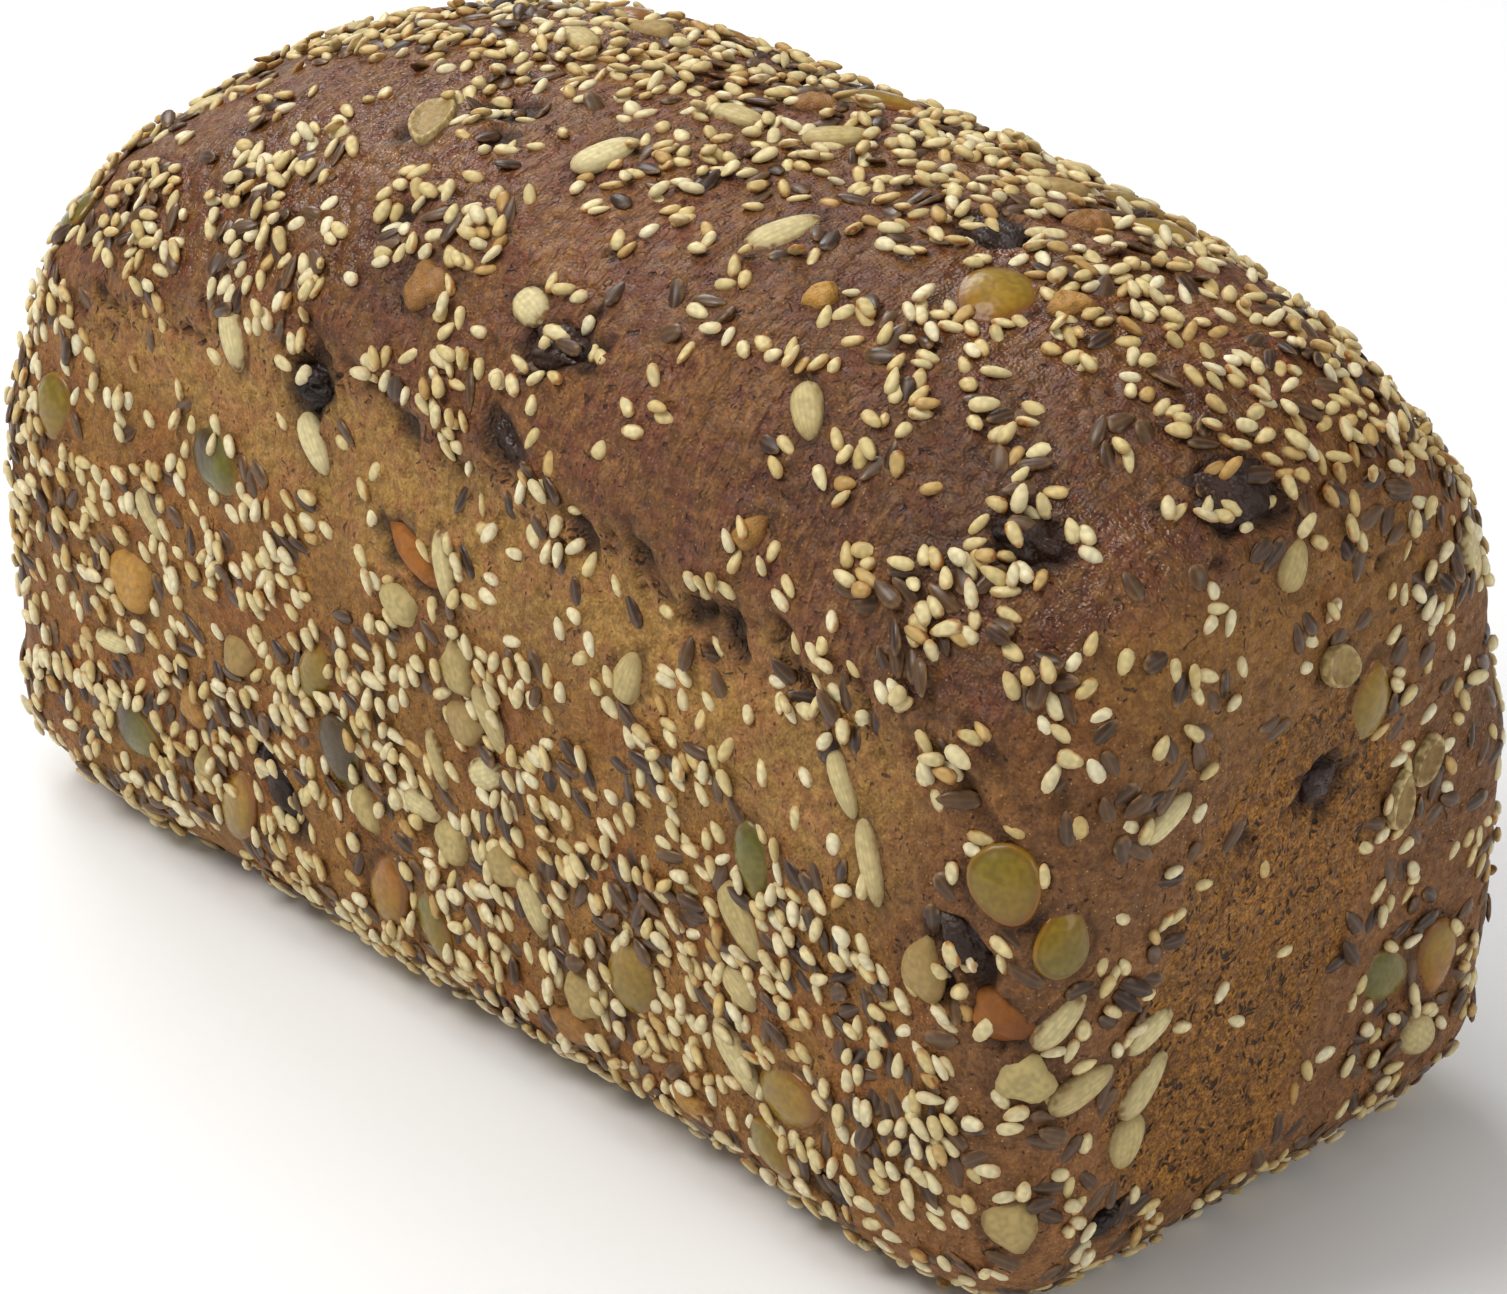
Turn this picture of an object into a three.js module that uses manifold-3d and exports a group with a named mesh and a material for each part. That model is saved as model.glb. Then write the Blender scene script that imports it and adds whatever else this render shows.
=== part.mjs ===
// A whole fruit bread: one dark loaf from a tin, uncut, with seeds pressed into its crust and
// dried fruit sunk in it. Millimetres, +Z up. X runs along the loaf and Y across it. The
// origin is on the table under the middle of the loaf.
//
// The loaf is a stack of level sections, each a superellipse: nearly a rectangle low down, where
// the tin held the dough, and rounder towards the top of the dome. The large seeds are fused to
// it, and every piece of fruit sits in a pocket of its own with a thin gap round it.

import * as THREE from 'three';
import Module from 'manifold-3d';

const wasm = await Module();
wasm.setup();

// ---- The loaf ---------------------------------------------------------------------------------

const LOAF = {
  halfLengthFoot: 102.7,
  halfLengthRim: 106,
  halfWidthFoot: 49.8,
  halfWidthRim: 50.8,
  rimHeight: 57.6,        // where the straight wall of the tin ends
  height: 124.5,          // top of the dome, before the sag below
  footRadius: 15.4,       // rounding of the bottom edge
  lengthPower: 6,         // how late the dome draws in along the loaf
  widthPower: 2.93,       // and across it
  squareLow: 10.3,        // exponent of the level sections at the foot
  squareHigh: 2.05,       // and at the very top
};
const SAG = { slope: 2.2, hollow: -11, across: 1.8, twist: 5 };
// The torn band under the top crust on both long sides: its middle height, how that waves and
// droops along the loaf, and the half height and depth of the hollow it makes.
const BAND = { height: 82, wave: 4, droop: 0.0009, halfHeight: 9, depth: 1.3 };
// Where the dough shrank or slumped most: middle, radius and depth of each dent.
const DENTS = [
  [[84, 34, 100], 34, 2.4],     // far shoulder of the front end
  [[-92, -28, 98], 28, 1.0],    // near shoulder of the back end
  [[-80, -10, 114], 34, 1.2],
  [[0, 34, 116], 50, 1.3],
  [[30, -52, 4], 36, 2.7],      // near foot, along the middle
  [[-35, -50, 4], 36, 1.7],
  [[106, -48, 10], 26, 1.1],
  [[106, 50, 60], 26, 1.1],     // far edge of the front end
];
const SPINE = { halfLength: 60, height: 58 };
const CELL = 11;                  // side of a mesh cell on the crust
const AIM_INSIDE = 0.985;         // cells aim this far out, which keeps the foot's corners on it
const FAR_OUT = 140;              // longer than any way out from the spine
const FLAT_FOOT = 2;              // no lumps below this height, so that the foot's edge is even
const FRUIT_GAP = 0.4;            // added to each half axis of a fruit for its pocket

// ---- What lies on the crust -------------------------------------------------------------------
// Every piece is [across, up, turn, long, wide]. On the long sides and the ends, across runs along
// the loaf or across it and up is the height; on the top the two are X and Y. turn is in degrees.

// How far each kind of seed stands out, and its facets. Long kinds narrow towards one end by a
// share of their width, and an empty husk is dished.
const SEEDS = {
  pumpkin: { proud: 0.9, sides: 7, taper: 0.25 },
  kernel: { proud: 1.1, sides: 6, taper: 0.25 },
  husk: { proud: 1.3, sides: 7, taper: 0.15, dish: 1.0 },
  bean: { proud: 1.0, sides: 6, taper: 0 },
  kibble: { proud: 1.1, sides: 6, taper: 0 },
};

const CHOSEN = {
  near: {
    pumpkin: [
      [-85, 66, -86, 10, 8], [-48, 71, -23, 12, 8.5], [-68, 21, -23, 11, 9.5], [-45, 19, 68, 13, 8],
      [-26, 48, 70, 11, 6.5], [-22, 37, -83, 12, 8], [-13, 19, 75, 11.5, 8], [-4, 17, -55, 11.5, 7.5],
      [36, 28, 76, 12.5, 9], [59, 55, -74, 12, 6], [66, 24, 18, 12.5, 9], [62, 14, -51, 9, 7],
      [97, 67, -63, 10.5, 9],
    ],
    kernel: [
      [-27, 81, -49, 9, 4.5], [1, 74, -65, 10, 4], [10, 54, -69, 13, 4.5], [8, 46, 31, 8, 5],
      [16, 30, -58, 11, 5], [36, 72, 70, 8, 5], [-45, 90, -61, 9.5, 5], [79, 64, -65, 11, 3.5],
      [57, 46, -52, 11, 6], [56, 25, -45, 12, 5.5], [57, 36, -30, 7, 4.5], [-72, 34, 2, 8, 3.5],
      [-62, 58, -54, 8, 3.5], [-2, 44, -71, 9.5, 3], [-6, 35, -12, 7, 4.5], [73, 72, -53, 9, 3.5],
    ],
    bean: [
      [-8, 65, 7, 7.5, 6.5], [3, 60, 71, 9, 7.5], [4, 52, 27, 9, 6.5], [0, 32, 21, 7.5, 7],
      [11, 33, -10, 7.5, 6.5], [88, 53, 86, 9, 7], [-17, 30, -61, 8, 5], [26, 20, -3, 7.5, 7.5],
      [-42, 44, 13, 7, 6], [-52, 22, 81, 7, 4.5],
    ],
    kibble: [
      [-67, 46, 10, 11, 10], [-54, 31, 85, 7.5, 6.5], [24, 14, -3, 9, 6], [46, 13, 5, 8, 5],
      [53, 97, 47, 6, 4], [-12, 107, 9, 8, 7],
    ],
  },
  front: {
    pumpkin: [[-41, 60, 75, 9.5, 7], [12, 74, 83, 11.5, 8], [20, 30, -27, 10.5, 8], [31, 28, -84, 13, 7.5]],
    kernel: [
      [-27, 73, 32, 8.5, 3.5], [-41, 49, 50, 9.5, 4.5], [-37, 38, 17, 10, 5.5], [-26, 42, 30, 8.5, 4.5],
      [-26, 34, 44, 10.5, 5], [-28, 26, -88, 8.5, 6], [33, 86, -67, 9, 5], [29, 17, -41, 9, 6.5],
      [-4, 98, 46, 7, 5],
    ],
    husk: [[4, 82, -31, 8, 5.5], [19, 57, 86, 8.5, 4.2], [24, 61, 73, 7.5, 4.5]],
    bean: [[-44, 41, -33, 7.5, 7], [-44, 19, -58, 8, 7]],
  },
  crown: {
    pumpkin: [[60, -11, -77, 11, 10]],
    kernel: [
      [-4, -17, 88, 11, 5.5], [29, -17, 78, 11, 6], [53, -36, -54, 8, 4.5], [6, -39, -25, 7, 5],
    ],
    husk: [[-33, -22, -51, 12, 6.5]],
    kibble: [[43, -24, 78, 5, 4.5], [68, -6, 41, 6.5, 5]],
  },
};

const FRUIT = {
  raisin: {
    near: [
      [-28, 89, -3, 9, 7], [13, 107, 13, 11, 6.5], [11, 94, -26, 9, 6], [93, 59, -43, 8, 5.5],
      [-36, 27, -57, 14, 5.5], [73, 13, 1, 7, 4.5],
    ],
    front: [[3, 66, -16, 8.5, 7], [-30, 15, -6, 8, 4.5], [-9, 108, -9, 13, 9]],
    crown: [[87, -33, 17, 9, 6], [50, 0, -17, 9, 8], [-60, 14, 40, 11, 7], [-8, 24, -20, 10, 7]],
    far: [[-70, 62, 20, 11, 7], [-20, 34, -40, 12, 7], [38, 78, 10, 10, 6.5], [74, 30, 60, 11, 6]],
    back: [[-18, 70, 30, 11, 7], [22, 36, -50, 10, 6.5]],
  },
  orange: {
    near: [[-6, 73, -28, 13, 5.5], [98, 49, -15, 9, 6.5]],
    far: [[6, 62, 35, 11, 6]],
    back: [[8, 90, -20, 10, 6]],
  },
};
const FRUIT_LOOKS = {
  raisin: { depth: 6, proud: 0.6, colour: 0x1c1a22, roughness: 0.42 },
  orange: { depth: 5, proud: 0.7, colour: 0x9a4a1c, roughness: 0.45 },
};

// Shallow pits in the crust, [across, up, turn, long, wide] as above.
const PITS = {
  near: [[26, 88, -35, 7, 4], [52, 84, -60, 8, 4.5]],
  crown: [[-25, -15, 11, 11, 7], [-23, -37, 50, 7, 5]],
  far: [[-40, 86, 20, 8, 5]],
};
const PIT = { depth: 4.4, proud: 1.2 };
const LENS_SIDES = 9;             // facets round a fruit or a pit, and bands from pole to pole
const LENS_BANDS = 4;

// Seeds that a rule spreads over the faces that have no seeds of their own above, and over the far
// half of the top: how many tries each gets, and the box they fall in.
const SPREAD = {
  far: { tries: 48, across: [-96, 96], up: [12, 108] },
  back: { tries: 26, across: [-42, 42], up: [12, 104] },
  crown: { tries: 20, across: [-88, 88], up: [-4, 34] },
};
const SPREAD_ORDER = ['kernel', 'bean', 'kernel', 'pumpkin', 'kernel', 'pumpkin', 'kibble'];
const SPREAD_SIZE = { pumpkin: [11.5, 8], kernel: [9.5, 5], bean: [7.5, 6.5], kibble: [7.5, 6] };
const SPREAD_ROOM = 1.5;          // clear crust left round a spread seed
const EVEN_STEP = [0.7548776662466927, 0.5698402909980532];
const TURN_STEP = 137.5;

// ---- Form -------------------------------------------------------------------------------------

const clamp = (value, low, high) => Math.min(high, Math.max(low, value));
const smooth = (value, low, high) => {
  const t = clamp((value - low) / (high - low), 0, 1);
  return t * t * (3 - 2 * t);
};

// Half length, half width and exponent of the level section at a height.
function section(z) {
  const t = clamp((z - LOAF.rimHeight) / (LOAF.height - LOAF.rimHeight), 0, 1);
  const draft = Math.sin(Math.PI / 2 * clamp(z / LOAF.rimHeight, 0, 1));
  const toFoot = clamp(1 - z / LOAF.footRadius, 0, 1);
  const inset = LOAF.footRadius * (1 - Math.sqrt(1 - toFoot * toFoot));
  const length = LOAF.halfLengthFoot + (LOAF.halfLengthRim - LOAF.halfLengthFoot) * draft - inset;
  const width = LOAF.halfWidthFoot + (LOAF.halfWidthRim - LOAF.halfWidthFoot) * draft - inset;
  return {
    a: length * (1 - t ** LOAF.lengthPower) ** (1 / LOAF.lengthPower),
    b: width * (1 - t ** LOAF.widthPower) ** (1 / LOAF.widthPower),
    n: LOAF.squareLow + (LOAF.squareHigh - LOAF.squareLow) * t ** 0.7,
  };
}

// The height before the dome sagged towards its ends.
function unsag(x, y, z) {
  const u = x / LOAF.halfLengthRim;
  const v = y / LOAF.halfWidthRim;
  const lift = SAG.slope * u + SAG.hollow * u * u + SAG.across * v + SAG.twist * u * u * u;
  const rise = LOAF.height - LOAF.rimHeight;
  return z <= LOAF.rimHeight ? z : (z + lift * LOAF.rimHeight / rise) / (1 + lift / rise);
}

// Millimetres that the crust stands out from the plain form: slow lumps all over it, the shallow
// torn band, and the dents.
function relief(x, y, z) {
  const lumps = 0.6 * Math.sin(x / 17 + 1.1) * Math.cos(z / 14 + 0.4)
    + 0.4 * Math.sin(y / 11 + z / 19) + 0.3 * Math.cos(x / 9 - y / 13) - 0.5;
  const bandHeight = BAND.height + BAND.wave * Math.sin(x / 31 + 0.6) - BAND.droop * x * x;
  const inBand = Math.exp(-(((z - bandHeight) / BAND.halfHeight) ** 2));
  const band = BAND.depth * inBand * smooth(Math.abs(y), 30, 44);
  let dents = 0;
  for (const [middleOfDent, radiusOfDent, depth] of DENTS) {
    const away = Math.hypot(x - middleOfDent[0], y - middleOfDent[1], z - middleOfDent[2]);
    dents += depth * Math.exp(-((away / radiusOfDent) ** 2));
  }
  return (lumps - band) * smooth(z, FLAT_FOOT, 14) - dents;
}

function isInside(x, y, z) {
  if (z < 0) {
    return false;
  }
  const sx = clamp(x, -SPINE.halfLength, SPINE.halfLength);
  const reach = Math.hypot(x - sx, y, z - SPINE.height);
  const k = 1 - relief(x, y, z) / Math.max(reach, 1);
  const px = sx + (x - sx) * k;
  const py = y * k;
  const pz = Math.max(0, SPINE.height + (z - SPINE.height) * k);
  const height = unsag(px, py, pz);
  if (height >= LOAF.height) {
    return false;
  }
  const { a, b, n } = section(height);
  return (Math.abs(px) / a) ** n + (Math.abs(py) / b) ** n < 1;
}

// The last point inside the loaf on the way from one point, inside it, to another outside.
function surfaceBetween(from, to) {
  let low = 0;
  let high = 1;
  for (let step = 0; step < 40; step += 1) {
    const mid = (low + high) / 2;
    const p = from.clone().lerp(to, mid);
    if (isInside(p.x, p.y, p.z)) {
      low = mid;
    } else {
      high = mid;
    }
  }
  return from.clone().lerp(to, low);
}

// Heights of the mesh's rows: close together round the foot, then even.
function rowHeights() {
  const footRows = [0, 30, 60].map((angle) => (
    LOAF.footRadius * (1 - Math.cos(THREE.MathUtils.degToRad(angle)))
  ));
  const wall = 2 * SPINE.height - LOAF.footRadius;
  const count = Math.round(wall / CELL);
  for (let row = 0; row <= count; row += 1) {
    footRows.push(LOAF.footRadius + wall * row / count);
  }
  return footRows;
}

// Where a cell's corner aims, at fx and fy of the way from the axis to the wall at a height: the
// square of the cells is drawn in to the section's own outline.
function aim(fx, fy, z) {
  const { a, b, n } = section(Math.min(z, LOAF.rimHeight));
  const edge = Math.max(Math.abs(fx), Math.abs(fy));
  const round = edge === 0 ? 0 : edge / (Math.abs(fx) ** n + Math.abs(fy) ** n) ** (1 / n);
  return new THREE.Vector3(fx * round * a * AIM_INSIDE, fy * round * b * AIM_INSIDE, z);
}

// A box of cells drawn out or in to the crust, from the spine outwards.
function loafMesh() {
  const rows = rowHeights();
  const cells = [
    Math.round(2 * LOAF.halfLengthRim / CELL),
    Math.round(2 * LOAF.halfWidthRim / CELL),
    rows.length - 1,
  ];
  const index = new Map();
  const points = [];
  const triangles = [];
  const vertex = (i, j, k) => {
    const key = `${i},${j},${k}`;
    if (!index.has(key)) {
      const target = aim(2 * i / cells[0] - 1, 2 * j / cells[1] - 1, rows[k]);
      const from = new THREE.Vector3(
        clamp(target.x, -SPINE.halfLength, SPINE.halfLength),
        0,
        SPINE.height,
      );
      const way = target.sub(from).normalize();
      const found = surfaceBetween(from, from.clone().addScaledVector(way, FAR_OUT));
      if (k === 0) {
        found.z = 0;
      }
      index.set(key, points.length / 3);
      points.push(found.x, found.y, found.z);
    }
    return index.get(key);
  };
  const face = (axis, side) => {
    const u = (axis + 1) % 3;
    const v = (axis + 2) % 3;
    for (let i = 0; i < cells[u]; i += 1) {
      for (let j = 0; j < cells[v]; j += 1) {
        const corner = (di, dj) => {
          const c = [0, 0, 0];
          c[axis] = side * cells[axis];
          c[u] = i + di;
          c[v] = j + dj;
          return vertex(...c);
        };
        const ring = [corner(0, 0), corner(1, 0), corner(1, 1), corner(0, 1)];
        if (side === 0) {
          ring.reverse();
        }
        triangles.push(ring[0], ring[1], ring[2], ring[0], ring[2], ring[3]);
      }
    }
  };
  for (const axis of [0, 1, 2]) {
    face(axis, 0);
    face(axis, 1);
  }
  return solid(points, triangles);
}

function solid(points, triangles) {
  return new wasm.Manifold(new wasm.Mesh({
    numProp: 3,
    vertProperties: new Float32Array(points),
    triVerts: new Uint32Array(triangles),
  }));
}

// ---- Places on the crust ----------------------------------------------------------------------

const FACES = {
  near: { ray: (u, v) => [[u, 0, v], [u, -90, v]], along: [1, 0, 0], up: [0, 0, 1] },
  far: { ray: (u, v) => [[u, 0, v], [u, 90, v]], along: [1, 0, 0], up: [0, 0, 1] },
  front: { ray: (u, v) => [[0, u, v], [150, u, v]], along: [0, 1, 0], up: [0, 0, 1] },
  back: { ray: (u, v) => [[0, u, v], [-150, u, v]], along: [0, 1, 0], up: [0, 0, 1] },
  crown: { ray: (u, v) => [[u, v, 40], [u, v, 160]], along: [1, 0, 0], up: [0, 1, 0] },
};

// The crust's frame at a place: where it is, the way a turned piece lies, across it, and outwards.
function place(faceName, [u, v, turn]) {
  const face = FACES[faceName];
  const at = (du, dv) => {
    const [from, to] = face.ray(u + du, v + dv);
    return surfaceBetween(new THREE.Vector3(...from), new THREE.Vector3(...to));
  };
  const centre = at(0, 0);
  const reach = 2;
  const acrossCrust = at(reach, 0).sub(at(-reach, 0));
  const upCrust = at(0, reach).sub(at(0, -reach));
  const [from, to] = face.ray(u, v);
  const outwards = new THREE.Vector3(...to).sub(new THREE.Vector3(...from));
  const normal = acrossCrust.cross(upCrust).normalize();
  if (normal.dot(outwards) < 0) {
    normal.negate();
  }
  const angle = THREE.MathUtils.degToRad(turn);
  const long = new THREE.Vector3(...face.along).multiplyScalar(Math.cos(angle))
    .addScaledVector(new THREE.Vector3(...face.up), Math.sin(angle));
  long.addScaledVector(normal, -long.dot(normal)).normalize();
  const wide = normal.clone().cross(long);
  return { centre, long, wide, normal };
}

function inFrame(frame, x, y, z) {
  return frame.centre.clone().addScaledVector(frame.long, x)
    .addScaledVector(frame.wide, y).addScaledVector(frame.normal, z);
}

// A closed body of stacked rings between two poles, all in a place's frame. Each ring is
// [half length, half width, height]; taper draws its far end in, as a seed's point.
function ringBody(frame, rings, low, high, sides, taper = 0) {
  const points = [];
  const triangles = [];
  const put = (x, y, z) => points.push(...inFrame(frame, x, y, z).toArray()) / 3 - 1;
  const bottom = put(0, 0, low);
  for (const [a, b, z] of rings) {
    for (let i = 0; i < sides; i += 1) {
      const angle = 2 * Math.PI * i / sides;
      const draw = 1 - taper * (1 + Math.cos(angle)) / 2;
      put(a * Math.cos(angle), b * draw * Math.sin(angle), z);
    }
  }
  const top = put(0, 0, high);
  const at = (ring, i) => bottom + 1 + ring * sides + (i % sides);
  for (let i = 0; i < sides; i += 1) {
    triangles.push(bottom, at(0, i + 1), at(0, i));
    for (let ring = 0; ring + 1 < rings.length; ring += 1) {
      triangles.push(at(ring, i), at(ring, i + 1), at(ring + 1, i + 1));
      triangles.push(at(ring, i), at(ring + 1, i + 1), at(ring + 1, i));
    }
    triangles.push(at(rings.length - 1, i), at(rings.length - 1, i + 1), top);
  }
  return solid(points, triangles);
}

// A seed shows only its upper half, so what is buried is a plain plug.
function seedBody(faceName, kind, piece) {
  const [, , , long, wide] = piece;
  const { proud, sides, taper, dish = 0 } = SEEDS[kind];
  const rings = [
    [long * 0.53, wide * 0.53, -1.5],
    [long * 0.36, wide * 0.34, proud * 0.9],
  ];
  return ringBody(place(faceName, piece), rings, -2, proud - dish, sides, taper);
}

// A lumpy lens with its top a little proud of the crust, for a fruit, its pocket or a pit.
function lensBody(faceName, piece, { depth, proud }, grown = 0) {
  const [, , , long, wide] = piece;
  const rings = [];
  for (let band = 1; band < LENS_BANDS; band += 1) {
    const angle = -Math.PI / 2 + Math.PI * band / LENS_BANDS;
    rings.push([
      (long / 2 + grown) * Math.cos(angle),
      (wide / 2 + grown) * Math.cos(angle),
      proud - depth / 2 + (depth / 2 + grown) * Math.sin(angle),
    ]);
  }
  return ringBody(place(faceName, piece), rings, proud - depth - grown, proud + grown, LENS_SIDES);
}

// ---- The spread seeds -------------------------------------------------------------------------

function eachPiece(byFace, visit) {
  for (const [faceName, pieces] of Object.entries(byFace)) {
    pieces.forEach((piece) => visit(faceName, piece));
  }
}

const middle = (faceName, piece) => place(faceName, piece).centre;
const radius = (piece) => (piece[3] + piece[4]) / 4;

function spreadSeeds(taken) {
  const seeds = [];
  for (const [faceName, box] of Object.entries(SPREAD)) {
    for (let k = 1; k <= box.tries; k += 1) {
      const kind = SPREAD_ORDER[k % SPREAD_ORDER.length];
      const u = box.across[0] + (box.across[1] - box.across[0]) * ((k * EVEN_STEP[0]) % 1);
      const v = box.up[0] + (box.up[1] - box.up[0]) * ((k * EVEN_STEP[1]) % 1);
      const piece = [u, v, (k * TURN_STEP) % 180 - 90, ...SPREAD_SIZE[kind]];
      const centre = middle(faceName, piece);
      const room = radius(piece) + SPREAD_ROOM;
      if (taken.every((other) => other.centre.distanceTo(centre) > room + other.radius)) {
        taken.push({ centre, radius: radius(piece) });
        seeds.push({ faceName, kind, piece });
      }
    }
  }
  return seeds;
}

// ---- Putting it together ----------------------------------------------------------------------

function allSeeds() {
  const seeds = [];
  const taken = [];
  for (const [faceName, kinds] of Object.entries(CHOSEN)) {
    for (const [kind, pieces] of Object.entries(kinds)) {
      pieces.forEach((piece) => seeds.push({ faceName, kind, piece }));
    }
  }
  seeds.forEach(({ faceName, piece }) => {
    taken.push({ centre: middle(faceName, piece), radius: radius(piece) });
  });
  for (const fruits of [...Object.values(FRUIT), PITS]) {
    eachPiece(fruits, (faceName, piece) => {
      taken.push({ centre: middle(faceName, piece), radius: piece[3] / 2 });
    });
  }
  return [...seeds, ...spreadSeeds(taken)];
}

// The biggest shell alone: scraps that a cut leaves loose and hollows sealed by a seed both go.
function wholeBody(body) {
  const parts = body.decompose();
  parts.sort((first, second) => second.volume() - first.volume());
  return parts[0];
}

function seededLoaf() {
  let body = loafMesh();
  for (const { faceName, kind, piece } of allSeeds()) {
    body = body.add(seedBody(faceName, kind, piece));
  }
  eachPiece(PITS, (faceName, piece) => {
    body = body.subtract(lensBody(faceName, piece, PIT));
  });
  for (const [kind, fruits] of Object.entries(FRUIT)) {
    eachPiece(fruits, (faceName, piece) => {
      body = body.subtract(lensBody(faceName, piece, FRUIT_LOOKS[kind], FRUIT_GAP));
    });
  }
  return wholeBody(body);
}

function crustMaterial() {
  return new THREE.MeshStandardMaterial({ name: 'crust', color: 0x6b4128, roughness: 0.62, metalness: 0 });
}

function fruitMaterial(kind) {
  const { colour, roughness } = FRUIT_LOOKS[kind];
  return new THREE.MeshStandardMaterial({ name: kind, color: colour, roughness, metalness: 0 });
}

function meshOf(name, body, material) {
  const { numProp, vertProperties, triVerts } = body.getMesh();
  const geometry = new THREE.BufferGeometry();
  const positions = new Float32Array(vertProperties.length / numProp * 3);
  for (let i = 0; i < positions.length / 3; i += 1) {
    positions.set(vertProperties.subarray(i * numProp, i * numProp + 3), i * 3);
  }
  geometry.setAttribute('position', new THREE.BufferAttribute(positions, 3));
  geometry.setIndex(new THREE.BufferAttribute(new Uint32Array(triVerts), 1));
  geometry.computeVertexNormals();
  const mesh = new THREE.Mesh(geometry, material);
  mesh.name = name;
  return mesh;
}

const group = new THREE.Group();
group.name = 'fruit_bread';
group.add(meshOf('loaf', seededLoaf(), crustMaterial()));
for (const [kind, fruits] of Object.entries(FRUIT)) {
  let count = 0;
  eachPiece(fruits, (faceName, piece) => {
    count += 1;
    const name = `${kind}_${String(count).padStart(2, '0')}`;
    group.add(meshOf(name, lensBody(faceName, piece, FRUIT_LOOKS[kind]), fruitMaterial(kind)));
  });
}

export default group;
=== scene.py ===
"""A whole fruit bread: a dark tin loaf with seeds and dried fruit in its crust.

Sizes are in millimetres in the row frame (X along the loaf, Y across it, Z up) and become metres
only where a mesh is made. The loaf's form and the places of its large seeds and fruit follow the
same rules as the CAD part; the fine crust, the sesame and the linseed are added here.
"""

import math

import bpy
import numpy as np
from mathutils import Matrix, Vector
from mathutils.bvhtree import BVHTree

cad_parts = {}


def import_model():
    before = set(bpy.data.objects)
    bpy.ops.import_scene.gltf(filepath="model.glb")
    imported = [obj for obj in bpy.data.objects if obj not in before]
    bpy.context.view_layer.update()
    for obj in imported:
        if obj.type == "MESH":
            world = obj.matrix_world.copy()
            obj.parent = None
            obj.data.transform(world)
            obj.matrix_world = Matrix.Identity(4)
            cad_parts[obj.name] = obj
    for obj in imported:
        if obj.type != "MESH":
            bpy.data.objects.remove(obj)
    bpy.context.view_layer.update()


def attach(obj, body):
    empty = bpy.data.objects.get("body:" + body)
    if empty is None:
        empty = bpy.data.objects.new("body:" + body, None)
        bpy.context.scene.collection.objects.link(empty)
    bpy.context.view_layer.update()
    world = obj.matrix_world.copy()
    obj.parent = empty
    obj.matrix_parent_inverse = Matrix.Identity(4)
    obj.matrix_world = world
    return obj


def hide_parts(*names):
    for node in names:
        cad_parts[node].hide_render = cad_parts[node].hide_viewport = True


MM = 0.001

# ---- The loaf, as in the CAD part ---------------------------------------------------------------

HALF_LENGTH_FOOT, HALF_LENGTH_RIM = 102.7, 106.0
HALF_WIDTH_FOOT, HALF_WIDTH_RIM = 49.8, 50.8
RIM_HEIGHT = 57.6
HEIGHT = 124.5
FOOT_RADIUS = 15.4
LENGTH_POWER, WIDTH_POWER = 6.0, 2.93
SQUARE_LOW, SQUARE_HIGH = 10.3, 2.05
SAG_SLOPE, SAG_HOLLOW, SAG_ACROSS, SAG_TWIST = 2.2, -11.0, 1.8, 5.0
BAND_HEIGHT, BAND_WAVE, BAND_DROOP = 82.0, 4.0, 0.0009
BAND_HALF_HEIGHT, BAND_DEPTH = 9.0, 1.3
DENTS = [
    # Middle, radius and depth of each place where the dough shrank or slumped.
    ((84, 34, 100), 34, 2.4), ((-92, -28, 98), 28, 1.0), ((-80, -10, 114), 34, 1.2),
    ((0, 34, 116), 50, 1.3), ((30, -52, 4), 36, 2.7), ((-35, -50, 4), 36, 1.7),
    ((106, -48, 10), 26, 1.1), ((106, 50, 60), 26, 1.1),
]
SPINE_HALF_LENGTH, SPINE_HEIGHT = 60.0, 58.0
FLAT_FOOT = 2.0
AIM_INSIDE = 0.985
FAR_OUT = 140.0

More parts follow.
